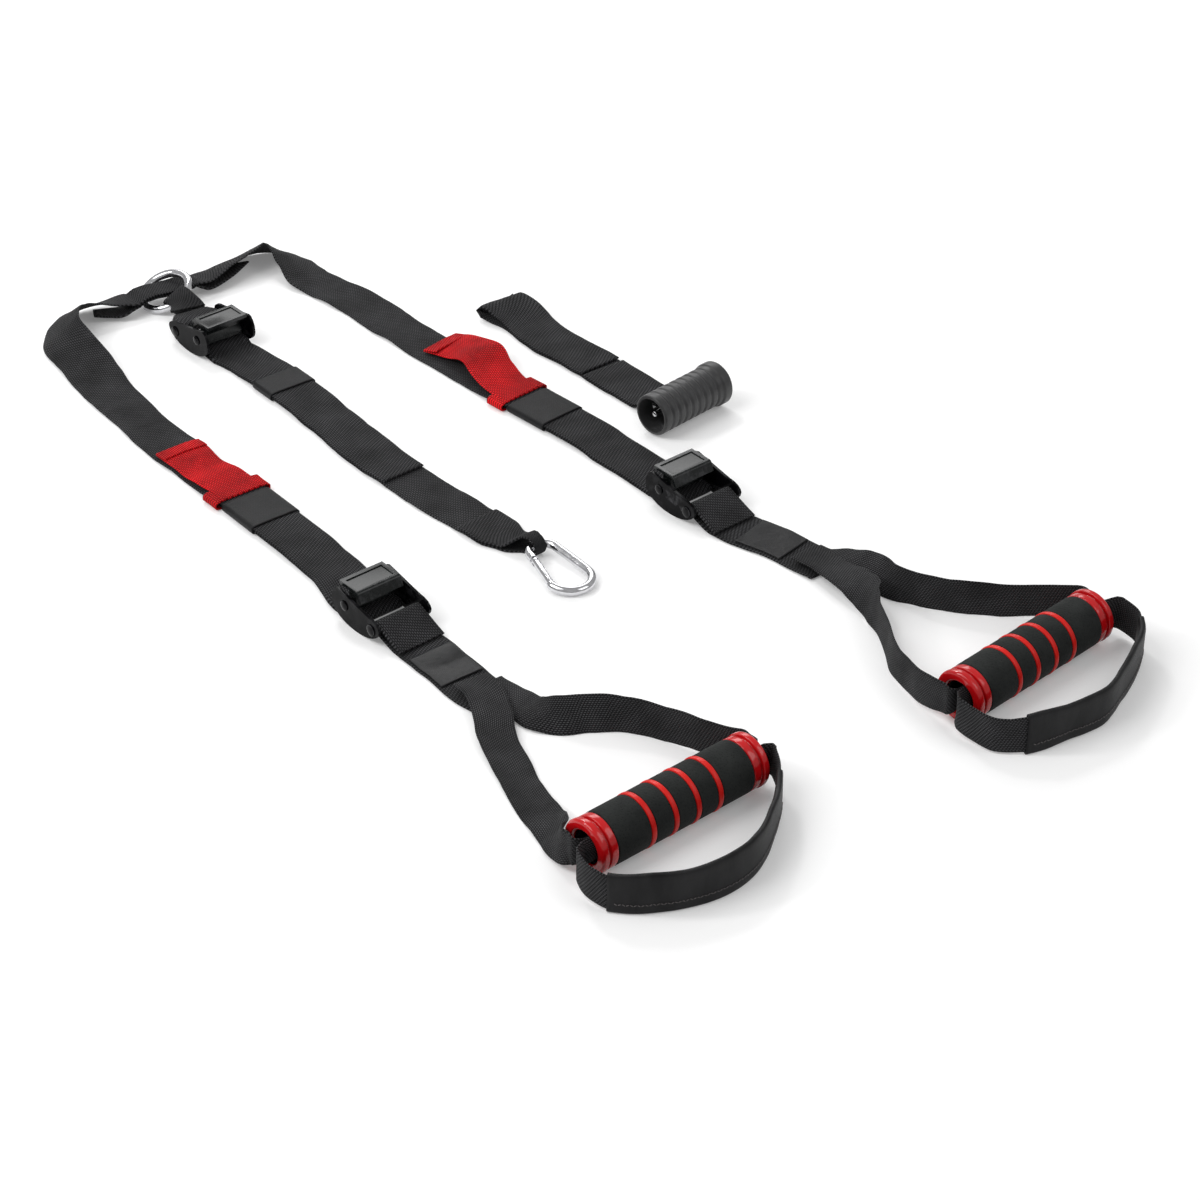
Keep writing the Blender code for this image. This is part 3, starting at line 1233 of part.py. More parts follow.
def finishes():
    return {
        "webbing": material("black_webbing", (0.018, 0.018, 0.020), 0.85),
        "red_webbing": material("red_webbing", (0.62, 0.03, 0.035), 0.8),
        "keeper": material("keeper_binding", (0.012, 0.012, 0.013), 0.55),
        "sleeve": material("sleeve_tube", (0.014, 0.014, 0.015), 0.6),
        "label": material("label_patch", (0.010, 0.010, 0.011), 0.35),
        "black_metal": material("black_coated_metal", (0.012, 0.012, 0.013), 0.25, 0.3),
        "dark_steel": material("dark_steel", (0.05, 0.05, 0.055), 0.35, 1.0),
        "spring_steel": material("spring_steel", (0.35, 0.35, 0.37), 0.3, 1.0),
        "polished_steel": material("polished_steel", (0.65, 0.65, 0.67), 0.18, 1.0),
        "foam": material("black_foam", (0.025, 0.026, 0.027), 0.9),
        "red_plastic": material("red_plastic", (0.60, 0.015, 0.02), 0.3),
        "black_plastic": material("black_plastic", (0.014, 0.014, 0.015), 0.4),
    }


def settle():
    """Moves everything that has no parent so that the origin is on the floor under the middle of the trainer."""
    bpy.context.view_layer.update()
    shown = [piece for piece in bpy.data.objects if piece.type == "MESH" and not piece.hide_render]
    points = [piece.matrix_world @ spot.co for piece in shown for spot in piece.data.vertices]
    middle = [(min(p[k] for p in points) + max(p[k] for p in points)) / 2 for k in (0, 1)]
    for piece in bpy.data.objects:
        if piece.parent is None:
            piece.location = piece.location - Vector((*middle, 0))


def build():
    for old in list(bpy.data.objects):
        bpy.data.objects.remove(old)
    looks = finishes()
    left = placement(*LEFT_BUCKLE_SHARES)
    right = placement(*RIGHT_BUCKLE_SHARES)
    anchor = placement(*ANCHOR_BUCKLE_SHARES, 0, 180)
    for side, place in (("left", left), ("right", right), ("anchor", anchor)):
        cam_buckle(side, place, looks)
    tilt = Matrix.Rotation(math.radians(-RING_TILT), 4, "Y")
    ring_place = placement(*RING_SHARES, RING_HEIGHT) @ tilt
    ring(empty("ring_spin", ring_place), looks)
    leg_webbing(left, right, ring_place, looks)
    lower = math.asin((HOOK_EYE_HEIGHT - HOOK_WIRE / 2) / (HOOK_LENGTH - HOOK_WIRE))
    hook_place = placement(*HOOK_SHARES, HOOK_EYE_HEIGHT) @ Matrix.Rotation(lower, 4, "X")
    hook_held = empty("hook_swing", hook_place)
    axis = (GATE_FOOT - GATE_TOP).normalized()
    hinge = GATE_TOP.lerp(GATE_FOOT, GATE_HINGE_SHARE) + axis * GATE_DIAMETER * GATE_HINGE_ASIDE_SHARE
    lean = Matrix.Rotation(math.atan2(axis.x, -axis.y), 4, "Z")
    gate_held = empty("gate_swing", hook_place @ Matrix.Translation(hinge) @ lean)
    snap_hook(hook_held, gate_held, looks)
    anchor_strap(anchor, ring_place, hook_place, looks)
    for side, grip_shares, turn, buckle, near, far, loop, cover, fixed, patch in (
        (
            "left", LEFT_GRIP_SHARES, LEFT_GRIP_TURN, left, LEFT_NEAR_SHARES, LEFT_FAR_SHARES,
            LEFT_LOOP_SHARES, LEFT_SLEEVE_SHARES, LEFT_FIXED_SHARES, LEFT_LABEL_SHARES,
        ),
        (
            "right", RIGHT_GRIP_SHARES, RIGHT_GRIP_TURN, right, RIGHT_NEAR_SHARES, RIGHT_FAR_SHARES,
            RIGHT_LOOP_SHARES, RIGHT_SLEEVE_SHARES, RIGHT_FIXED_SHARES, RIGHT_LABEL_SHARES,
        ),
    ):
        held = empty("grip_" + side, placement(*grip_shares, GRIP_HEIGHT, turn))
        grip(side, held, looks)
        handle(side, held, buckle, near, far, loop, cover, fixed, looks)
        label(side, patch, looks)
    for side, rows, index, tab_rows in (
        ("left", LEFT_LEG_SHARES, LEFT_KEEPER_INDEX, LEFT_TAB_SHARES),
        ("right", RIGHT_LEG_SHARES, RIGHT_KEEPER_INDEX, RIGHT_TAB_SHARES),
    ):
        place = strap_frame(rows, index)
        keeper("keeper_" + side, place, KEEPER_LENGTH, looks)
        beyond = (KEEPER_LENGTH + TAB_EAR_LENGTH) / 2 + TAB_GAP
        pull_tab(side, place @ Matrix.Translation((0, beyond, 0)), tab_rows, looks)
    keeper("keeper_anchor", strap_frame(ANCHOR_SHARES[::-1], ANCHOR_KEEPER_INDEX), ANCHOR_KEEPER_LENGTH, looks)
    door_anchor(empty("door_anchor", placement(*DOOR_SHARE, TUBE_HEIGHT, DOOR_TURN)), looks)
    settle()


build()
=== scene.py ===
"""Suspension trainer lying on a floor: webbing, buckles, grips, ring, snap hook and door anchor."""

import json
import math
from collections import namedtuple

import bmesh
import bpy
from mathutils import Matrix, Vector, noise

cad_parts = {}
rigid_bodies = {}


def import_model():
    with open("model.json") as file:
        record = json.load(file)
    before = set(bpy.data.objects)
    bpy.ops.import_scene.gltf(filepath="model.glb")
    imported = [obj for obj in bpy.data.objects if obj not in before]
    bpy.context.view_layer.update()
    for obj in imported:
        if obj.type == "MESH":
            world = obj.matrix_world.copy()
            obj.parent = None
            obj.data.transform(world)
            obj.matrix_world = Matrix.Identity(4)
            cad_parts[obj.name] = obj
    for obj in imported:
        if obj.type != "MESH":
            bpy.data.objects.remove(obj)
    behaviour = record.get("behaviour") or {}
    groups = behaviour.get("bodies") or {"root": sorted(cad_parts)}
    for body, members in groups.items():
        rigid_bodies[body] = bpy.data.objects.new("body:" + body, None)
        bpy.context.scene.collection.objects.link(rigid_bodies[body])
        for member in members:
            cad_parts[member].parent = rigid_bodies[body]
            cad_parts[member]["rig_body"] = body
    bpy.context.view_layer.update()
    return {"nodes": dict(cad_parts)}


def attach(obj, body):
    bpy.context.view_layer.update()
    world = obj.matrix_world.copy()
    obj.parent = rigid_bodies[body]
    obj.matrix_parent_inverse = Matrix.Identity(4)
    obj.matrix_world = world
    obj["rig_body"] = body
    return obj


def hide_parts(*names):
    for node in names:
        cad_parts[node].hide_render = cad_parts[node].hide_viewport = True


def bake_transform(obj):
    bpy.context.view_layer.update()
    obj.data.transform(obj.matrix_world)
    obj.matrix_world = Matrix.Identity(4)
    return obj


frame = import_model()

MM = 0.001
UP = Vector((0, 0, 1))
FULL_TURN = 2 * math.pi

# Webbing, in millimetres
WEBBING = 1.8
NARROW = 1.6
TAB_WEBBING = 1.3
LABEL = 0.7
SLEEVE_WIDTH = 25.8

# Where the built pieces stand, in millimetres, with their turns in degrees about X, Y and Z
BUCKLES = {
    "left": ((-138.65, -48.43, 0), 0),
    "right": ((114.31, -72.42, 0), 0),
    "anchor": ((-13.65, 332.55, 0), 180),
}
GRIPS = {"left": ((-139.17, -337.48, 18.4), 1), "right": ((137.83, -368.44, 18.4), 4.2)}
RING_PLACE = ((-6.65, 406.51, 10.95), (0, -24, 0))
HOOK_PLACE = ((-11.16, -51.44, 7.2), (3.87, 0, 0))
DOOR_PLACE = ((185.83, 18.56, 16.7), (0, 0, 5))

# Keepers: middle and turn, with the length along the strap
KEEPERS = (
    ("left", (-125.61, 109.55, 3.35), -1.75, 38),
    ("right", (112.59, 89.56, 3.35), 3.37, 38),
    ("anchor", (-11.66, 242.51, 3.35), -1.8, 24),
)

# Where the webbing isn't creased: x, y and radius in millimetres
STILL = (
    (-138.65, -48.43, 34), (114.31, -72.42, 34), (-13.65, 332.55, 34), (-6.65, 406.51, 40), (-12, -45, 20),
    (-206.7, -338.7, 24), (-71.7, -336.3, 24), (70.5, -373.4, 24), (205.1, -363.5, 24), (185.83, 18.56, 46),
    (-125.61, 109.55, 30), (112.59, 89.56, 30), (-11.66, 242.51, 26),
    (-126.37, 84.6, 30), (114.06, 64.6, 30), (-12.29, 222.5, 26),
)
CREASE_FADE = 25
FOLD_SPAN = 34
WRINKLE_SPAN = 13
# Without a seed the noise is taken from the clock, and the creases differ from run to run
noise.seed_set(1)

# Routes in millimetres: a point on the middle line, the direction across, the width, and how far the
# middle bows out. What a row leaves out at its end is as in the row before it.
LEG_WEBBING = (
    (-124.7, 150.6, 4.5, 1, 0, 0, 37), (-124.7, 130.5, 4.5, 1, -0.02, 0), (-125.2, 124.5, 4.5, 1, -0.04, 0),
    (-126.1, 94.6, 4.5, 1, -0.03, 0), (-127.2, 56.6, 4.5), (-128.2, 32.6, 3.2, 1, -0.06, 0),
    (-129.7, 12.5, 3.2, 0.99, -0.15, 0), (-133.7, -3.5, 3.2, 0.96, -0.27, 0),
    (-137.7, -15.5, 3.2, 0.95, -0.32, 0), (-138.6, -22.4, 3.2, 1, 0, 0), (-138.6, -26.4, 4.9),
    (-138.6, -30.4, 6.6), (-138.6, -44.9, 6.6), (-138.6, -46.1, 6.29), (-138.6, -46.9, 5.45),
    (-138.6, -47.2, 4.3), (-138.6, -46.9, 3.15), (-138.6, -46.1, 2.31), (-138.6, -44.9, 2),
    (-138.6, -30.4, 2), (-138.6, -22.4, 0.9), (-137.7, -15.5, 0.9, 0.95, -0.32, 0),
    (-133.7, -3.5, 0.9, 0.96, -0.27, 0), (-129.7, 12.5, 0.9, 0.99, -0.15, 0),
    (-128.2, 32.6, 0.9, 1, -0.06, 0), (-127.2, 56.6, 2.2, 1, -0.03, 0), (-126.1, 94.6, 2.2),
    (-125.2, 124.5, 2.2, 1, -0.04, 0), (-124.7, 130.5, 2.2, 1, -0.02, 0), (-124.7, 150.6, 2.2, 1, 0, 0),
    (-124.7, 172.5, 0.9), (-124.7, 194.5, 0.9, 1, -0.04, 0), (-121.7, 254.5, 0.9, 1, -0.06, 0),
    (-117.7, 304.5, 0.9, 0.99, -0.11, 0), (-112.7, 338.6, 2.8, 0.99, -0.13, 0.1),
    (-110.7, 358.5, 6.6, 0.95, -0.11, 0.31), (-108.6, 376.6, 9.4, 0.88, -0.09, 0.47),
    (-106.7, 394.6, 11.4, 0.78, -0.2, 0.59), (-100.7, 406.5, 12.3, 0.64, -0.42, 0.64),
    (-91.7, 417.5, 12.3, 0.46, -0.61, 0.64), (-77.7, 423.5, 11.5, 0.12, -0.8, 0.59),
    (-58.7, 422.5, 11, -0.25, -0.85, 0.47, 34), (-39.7, 412.5, 12.44, -0.46, -0.88, 0.1, 22.9),
    (-34.7, 410.5, 11.47, 0, -1, 0, 20.7), (-26.7, 410.5, 13.96), (-18.7, 410.5, 13.96),
    (-6.6, 410.5, 12.3), (5.4, 410.5, 11.28), (19.2, 410.5, 10.83),
    (27.3, 409.5, 8.95, 0.13, -0.98, 0.17, 26.6), (49.3, 412.5, 10.3, 0.12, -0.89, 0.44, 33.3),
    (70.3, 415.5, 11.6, 0.12, -0.82, 0.56, 37), (85.3, 417.5, 11.8, -0.13, -0.78, 0.62),
    (95.4, 411.6, 11.8, -0.59, -0.52, 0.62), (100.3, 400.6, 10.4, -0.83, -0.15, 0.53),
    (100.3, 384.6, 6.8, -0.94, 0.03, 0.33), (99.3, 366.5, 2.8, -0.99, -0.07, 0.1),
    (103.3, 344.5, 0.9, -0.99, -0.13, 0), (107.4, 304.5, 0.9, -1, -0.04, 0), (106.3, 259.5, 0.9, -1, 0, 0),
    (107.4, 216.5, 0.9, -1, -0.03, 0), (108.4, 184.5, 0.9), (109.3, 154.5, 0.9, -1, -0.04, 0),
    (110.3, 130.5, 2.2), (111.3, 108.5, 2.2, -1, -0.05, 0), (111.8, 102.6, 2.2, -1, -0.06, 0),
    (113.4, 76.5, 2.2), (115.3, 40.6, 2.2, -1, -0.04, 0), (115.3, 20.5, 0.9, -1, 0, 0),
    (115.3, -5.4, 0.9, -1, 0.01, 0), (114.8, -29.4, 0.9, -1, 0.02, 0), (114.3, -46.4, 0.9, -1, 0, 0),
    (114.3, -54.4, 2), (114.3, -68.9, 2), (114.3, -70.1, 2.31), (114.3, -70.9, 3.15), (114.3, -71.2, 4.3),
    (114.3, -70.9, 5.45), (114.3, -70.1, 6.29), (114.3, -68.9, 6.6), (114.3, -54.4, 6.6),
    (114.3, -50.4, 4.9), (114.3, -46.4, 3.2), (114.8, -29.4, 3.2, -1, 0.02, 0),
    (115.3, -5.4, 3.2, -1, 0.01, 0), (115.3, 20.5, 3.2, -1, 0, 0), (115.3, 40.6, 4.5, -1, -0.04, 0),
    (113.4, 76.5, 4.5, -1, -0.06, 0), (111.8, 102.6, 4.5), (111.3, 108.5, 4.5, -1, -0.05, 0),
    (110.3, 130.5, 4.5),
)
RING_DOUBLER = (
    (-61.7, 423.5, 3.8, -0.46, -0.85, 0.26, 22.9), (-50.7, 417.5, 2.81, -0.54, -0.83, 0.17, 22.2),
    (-41.6, 410.6, 4.25, -0.61, -0.79, 0.03, 20.7), (-34.7, 410.5, 8.71, 0, -1, 0), (-26.7, 410.5, 11.2),
    (-18.7, 410.5, 11.2), (-6.6, 410.5, 9.54), (5.4, 410.5, 8.52), (19.2, 410.5, 8.07),
    (27.3, 406.5, 4.2, 0.06, -1, 0.07, 22.2), (45.3, 407.5, 4.4, 0.18, -0.94, 0.29, 24.4),
    (65.4, 413.6, 6.6, 0.26, -0.85, 0.45, 25.9),
)
ANCHOR_WEBBING = (
    (-17.7, 4.5, 3.2, 1, 0.08, 0, 37), (-16.1, -15.5, 3.2, 1, 0.08, 0, 35.9),
    (-14.7, -31.5, 3.2, 1, 0.09, 0, 26.6), (-11.2, -44.9, 12.55, 1, 0, 0, 12.9),
    (-11.2, -51.4, 13.49, 1, 0, 0, 10), (-11.2, -53.8, 13.01), (-11.2, -55.9, 11.65), (-11.2, -57.3, 9.61),
    (-11.2, -57.7, 7.2), (-11.2, -57.3, 4.79), (-11.2, -55.9, 2.74), (-11.2, -53.8, 1.38),
    (-11.2, -51.4, 0.9), (-11.2, -44.9, 0.9, 1, 0, 0, 12.9), (-14.7, -31.5, 0.9, 1, 0.09, 0, 26.6),
    (-16.1, -15.5, 0.9, 1, 0.08, 0, 35.9), (-17.7, 4.5, 0.9, 1, 0.06, 0, 37),
    (-18.6, 24.6, 0.9, 1, 0.03, 0), (-19.2, 47.5, 0.9), (-20.2, 84.5, 0.9, 1, 0.02, 0),
    (-20.2, 114.5, 0.9, 1, -0.03, 0), (-18.2, 149.5, 0.9, 1, -0.07, 0), (-15.7, 179.6, 0.9, 1, -0.09, 0),
    (-13.2, 204.6, 2.2, 1, -0.07, 0), (-12.2, 226.5, 2.2, 1, -0.04, 0), (-11.2, 258.5, 2.2, 1, -0.02, 0),
    (-11.2, 279.6, 0.9, 1, 0.04, 0), (-12.6, 300.6, 0.9, 1, 0.07, 0), (-13.7, 306.6, 0.9, 1, 0, 0),
    (-13.7, 314.6, 2), (-13.7, 329.1, 2), (-13.7, 330.2, 2.31), (-13.7, 331, 3.15), (-13.7, 331.4, 4.3),
    (-13.7, 331, 5.45), (-13.7, 330.2, 6.29), (-13.7, 329.1, 6.6), (-13.7, 314.6, 6.6), (-13.7, 310.6, 4.9),
    (-13.7, 306.6, 3.2), (-12.6, 300.6, 3.2, 1, 0.07, 0), (-11.2, 279.6, 3.2, 1, 0.04, 0),
    (-11.2, 258.5, 4.5, 1, -0.02, 0), (-12.2, 226.5, 4.5, 1, -0.04, 0), (-13.2, 204.6, 4.5, 1, -0.07, 0),
    (-15.7, 179.6, 3.2, 1, -0.09, 0), (-18.2, 149.5, 3.2, 1, -0.07, 0), (-20.2, 114.5, 3.2, 1, -0.03, 0),
    (-20.2, 84.5, 3.2, 1, 0, 0),
)
RING_LOOP = (
    (-12, 363.9, 12.6, 1, 0, 0, 28.5), (-13.7, 355.1, 13.8, 1, 0, 0, 37), (-13.7, 349, 13.64),
    (-13.7, 347, 12.27), (-13.7, 346.3, 10), (-13.7, 347, 7.73), (-13.7, 349, 6.36), (-13.7, 355.1, 6.2),
    (-4.6, 381.1, 6.33, 0.91, 0, 0.41, 20), (-4.6, 390.3, 6.33), (-4.9, 392.8, 6.95), (-5.6, 394.7, 8.64),
    (-6.6, 395.3, 10.95), (-7.7, 394.7, 13.26), (-8.4, 392.8, 14.95), (-8.7, 390.3, 15.57),
    (-8.7, 381.1, 15.57), (-11.1, 368.6, 12.92, 1, 0, 0, 28.5),
)
FIXED_WEBBING_LEFT = (
    (-138.6, -91.9, 3.2, 1, 0, 0, 37), (-138.6, -67.2, 13.57), (-138.6, -64.8, 13.64),
    (-138.6, -62.9, 12.27), (-138.6, -62.1, 10), (-138.6, -62.9, 7.73), (-138.6, -64.8, 6.36),
    (-138.6, -67.2, 6.43), (-138.6, -85.4, 0.9), (-139.7, -107.4, 0.9, 1, -0.04, 0),
    (-140.7, -135.5, 0.9, 1, -0.02, 0), (-140.7, -155.4, 0.9, 1, 0.03, 0),
    (-139.7, -173.5, 0.9, 1, 0.06, 0),
)
HANDLE_WEBBING_LEFT = (
    (-139.7, -145.4, 5.4, 0.99, -0.17, 0, 25), (-142.7, -162.5, 6.78, 0.94, -0.34, 0),
    (-153.6, -183.4, 5.86, 0.88, -0.47, 0), (-163.6, -201.4, 4.94, 0.9, -0.43, 0),
    (-171.7, -221.5, 3.1, 0.93, -0.36, 0), (-179.7, -242.4, 1.49, 0.94, -0.34, 0),
    (-186.7, -263.4, 1.67, 0.94, -0.32, 0.07), (-194.7, -286.5, 4.21, 0.9, -0.33, 0.28),
    (-202.6, -306.4, 9.55, 0.63, -0.3, 0.72), (-211.7, -322.4, 14.69, 0.18, -0.1, 0.98),
    (-212.8, -332.8, 18.4, 0, 0, 1, 23), (-213.6, -336.7, 18.4, 0, 0, 1, 21),
    (-210.3, -339, 18.4, 0, 0, 1, 18.5), (-204.6, -338.6, 18.4, 0, 0, 1, 14.1), (-193.2, -338.4, 18.4),
    (-139.2, -337.5, 18.4), (-85.2, -336.5, 18.4), (-73.7, -336.3, 18.4),
    (-68.1, -336.5, 18.4, 0, 0, 1, 18.5), (-64.8, -334.1, 18.4, 0, 0, 1, 21),
    (-65.8, -330.2, 18.4, 0, 0, 1, 23), (-64.7, -322.4, 16.18, 0, 0, 1, 25), (-69.6, -307.5, 13.88),
    (-79.6, -279.4, 12.5, 0.03, 0.01, 1), (-93.7, -248.5, 12.4, 0.12, 0.08, 0.99),
    (-110.7, -231.4, 11.7, 0.23, 0.25, 0.94), (-124.7, -219.5, 10, 0.47, 0.37, 0.8),
    (-132.7, -203.5, 6.6, 0.83, 0.21, 0.52), (-132.7, -187.5, 4.1, 0.97, 0, 0.24),
    (-132.7, -171.5, 3.5, 1, 0, 0.05), (-132.7, -153.4, 3.1, 1, 0, 0),
)
FOOT_LOOP_LEFT = (
    (-148.6, -408.4, 13.9, 0, 0, 1, 25), (-162, -407.6, 13.9), (-175.6, -404.5, 13.9),
    (-189.3, -398.8, 13.9), (-201.7, -391.5, 13.9), (-211.6, -383.1, 13.9), (-218.7, -374.5, 13.9),
    (-221.7, -359.5, 15.26), (-218.7, -347.5, 17.56), (-213.8, -344.2, 18.4, 0, 0, 1, 22, -1.4),
    (-206.6, -341, 18.4, 0, 0, 1, 17.6, -6.8), (-172.9, -340.4, 18.4), (-139.1, -339.8, 18.4),
    (-105.4, -339.2, 18.4), (-71.6, -338.6, 18.4), (-64.4, -341.6, 18.4, 0, 0, 1, 22, -1.4),
    (-61.7, -345.5, 17.56, 0, 0, 1, 25, 0), (-67.6, -357.4, 15.26), (-74.3, -365.2, 14.44),
    (-82.7, -373.4, 13.9), (-92.2, -381.6, 13.9), (-102.6, -389.4, 13.9), (-113.4, -396.6, 13.9),
    (-124.7, -402.5, 13.9),
)
LABEL_LEFT = (
    (-139.7, -101.5, 2.65, 1, -0.05, 0, 33), (-140.7, -121.4, 2.65, 1, -0.04, 0),
    (-141.1, -138.5, 2.65, 1, -0.03, 0),
)
FIXED_WEBBING_RIGHT = (
    (114.3, -115.9, 3.2, 1, 0, 0, 37), (114.3, -91.2, 13.57), (114.3, -88.8, 13.64), (114.3, -86.9, 12.27),
    (114.3, -86.1, 10), (114.3, -86.9, 7.73), (114.3, -88.8, 6.36), (114.3, -91.2, 6.43),
    (114.3, -109.4, 0.9), (118.3, -131.4, 0.9, 0.98, 0.2, 0), (123.3, -155.4, 0.9, 0.99, 0.17, 0),
    (126.3, -177.4, 0.9, 1, 0.1, 0), (127.3, -196.4, 0.9, 1, 0.05, 0),
)
HANDLE_WEBBING_RIGHT = (
    (125.4, -173.5, 5.4, 1, 0, 0, 25), (125.4, -191.4, 6.78, 1, -0.06, 0),
    (123.4, -209.4, 8.57, 0.99, -0.13, 0.07), (120.4, -228.4, 11.52, 0.93, -0.21, 0.31),
    (115.3, -244.4, 13, 0.64, -0.26, 0.72), (108.4, -258.4, 13.06, 0.27, -0.14, 0.95),
    (99.4, -274.4, 12.52, 0.03, -0.02, 1), (81.4, -302.5, 12.5, 0, 0, 1), (71.4, -322.4, 13.19),
    (65.3, -341.4, 14.8), (63.3, -355.4, 17.1), (64.1, -367.8, 18.4, 0, 0, 1, 23),
    (63.5, -371.8, 18.4, 0, 0, 1, 21), (66.9, -373.9, 18.4, 0, 0, 1, 18.5),
    (72.5, -373.2, 18.4, 0, 0, 1, 14.1), (84, -372.4, 18.4), (137.8, -368.4, 18.4), (191.7, -364.5, 18.4),
    (203.1, -363.6, 18.4), (208.8, -363.5, 18.4, 0, 0, 1, 18.5), (211.9, -360.9, 18.4, 0, 0, 1, 21),
    (210.7, -357.1, 18.4, 0, 0, 1, 23), (211.3, -345.5, 16.18, 0, 0, 1, 25), (195.3, -326.5, 13.88),
    (175.4, -306.4, 12.5), (157.3, -285.4, 12.5, 0.03, 0.02, 1), (145.3, -265.5, 12.4, 0.13, 0.06, 0.99),
    (139.3, -247.4, 11.9, 0.31, 0.04, 0.95), (140.3, -231.4, 10.4, 0.56, -0.03, 0.83),
    (141.3, -215.4, 7.4, 0.83, 0.05, 0.56), (138.4, -199.4, 5.5, 0.94, 0.28, 0.21),
    (132.3, -185.4, 3.1, 0.95, 0.32, 0), (130.4, -175.5, 3.1, 0.98, 0.19, 0),
)
FOOT_LOOP_RIGHT = (
    (139.3, -434.5, 13.9, 0, 0, 1, 25), (123.6, -433.9, 13.9), (107.3, -431.5, 13.9), (92.2, -428.5, 13.9),
    (79.4, -424.4, 13.9), (65.3, -412.5, 13.9), (61.3, -396.5, 15.26), (60.3, -384.4, 17.56),
    (63.7, -379.3, 18.4, 0, 0, 1, 22, -1.4), (70.7, -375.7, 18.4, 0, 0, 1, 17.6, -6.8),
    (104.3, -373.2, 18.4), (138, -370.7, 18.4), (171.7, -368.3, 18.4), (205.3, -365.8, 18.4),
    (212.7, -368.4, 18.4, 0, 0, 1, 22, -1.4), (220.3, -372.5, 17.56, 0, 0, 1, 25, 0),
    (221.4, -386.5, 15.26), (216.8, -394.6, 14.44), (209.4, -402.5, 13.9), (199.1, -409.3, 13.9),
    (187.4, -415.5, 13.9), (175.5, -421.3, 13.9), (163.3, -426.5, 13.9),
)
LABEL_RIGHT = (
    (117.8, -126.4, 2.65, 0.98, 0.21, 0, 33), (121.9, -145.4, 2.65, 0.98, 0.18, 0),
    (124.8, -164.4, 2.65, 0.99, 0.15, 0),
)
PULL_TAB_LEFT = (
    (-124.9, 132, 3.35, 1, -0.03, 0, 44), (-124.4, 148, 3.35),
)
PULL_TAB_LEFT_TONGUE = (
    (-124.9, 132.4, 6.45, 1, -0.03, 0, 34), (-124.4, 148, 6.45), (-125, 164.5, 6.17, 1, 0, 0),
    (-125, 180.6, 3.64, 1, -0.02, 0), (-124.1, 200.5, 3.18, 1, -0.05, 0),
    (-123.1, 216.5, 3.18, 1, -0.06, 0),
)
PULL_TAB_LEFT_HEM = (
    (-123.1, 216.5, 4.22, 1, -0.06, 0, 34), (-123.9, 204.6, 4.22),
)
PULL_TAB_RIGHT = (
    (111.3, 112, 3.35, 1, 0.06, 0, 44), (110.3, 128, 3.35),
)
PULL_TAB_RIGHT_TONGUE = (
    (111.2, 112.4, 6.45, 1, 0.06, 0, 34), (110.3, 128, 6.45), (113.4, 152.6, 8.93, 0.97, -0.24, 0),
    (118.3, 172.5, 12.67, 0.99, -0.09, 0.14), (117.3, 194.5, 8.53, 0.99, 0.09, 0.14),
    (114.3, 216.5, 3.41, 0.99, 0.14, 0),
)
PULL_TAB_RIGHT_HEM = (
    (114.3, 216.5, 4.45, 0.99, 0.14, 0, 34), (115.9, 205, 7.14),
)
DOOR_WEBBING = (
    (184.3, 108.5, 3.2, 1, -0.02, 0, 37), (183.8, 80.6, 3.2, 1, 0, 0), (184.3, 54.5, 3.2, 1, 0.02, 0),
    (184.3, 36.6, 14.9, 1, 0.09, 0), (185.8, 18.6, 20), (186, 16.9, 19.56), (186.1, 15.7, 18.35),
    (186.1, 15.3, 16.7), (186.1, 15.7, 15.05), (186, 16.9, 13.84), (185.8, 18.6, 13.4), (184.3, 36.6, 12.1),
    (184.3, 54.5, 0.9, 1, 0.02, 0), (183.8, 80.6, 0.9, 1, 0, 0), (184.3, 108.5, 0.9, 1, -0.02, 0),
    (184.3, 112.6, 0.9, 1, 0.05, 0), (182.9, 140.5, 0.9, 1, 0.03, 0), (182.3, 170.5, 0.9, 1, -0.05, 0),
    (185.4, 194.5, 0.9, 1, -0.09, 0), (186.3, 212.6, 0.9, 1, -0.05, 0), (183.3, 226.5, 2.22),
    (181.3, 233.6, 5.92), (183.3, 226.5, 9.99), (186.3, 212.6, 7.2), (185.4, 194.5, 3.2, 1, -0.09, 0),
    (182.3, 170.5, 3.2, 1, -0.05, 0), (182.9, 140.5, 3.2, 1, 0.03, 0), (184.3, 112.6, 3.2, 1, 0.05, 0),
)

# The foot loop's rows that each sleeve covers, and the sleeve's point where the loop's ends meet
SLEEVES = {
    "left": (FOOT_LOOP_LEFT, 6, (-136.4, -406.5, 13.9), 18),
    "right": (FOOT_LOOP_RIGHT, 4, (151.8, -431.4, 13.9), 17),
}


# Materials

KEEPER_RIB = 0.0011
SLEEVE_WEAVE = 0.0007
LABEL_RIB = 0.0005
SELVAGE_START = 0.93
RUBBED = (0.16, 0.16, 0.17)


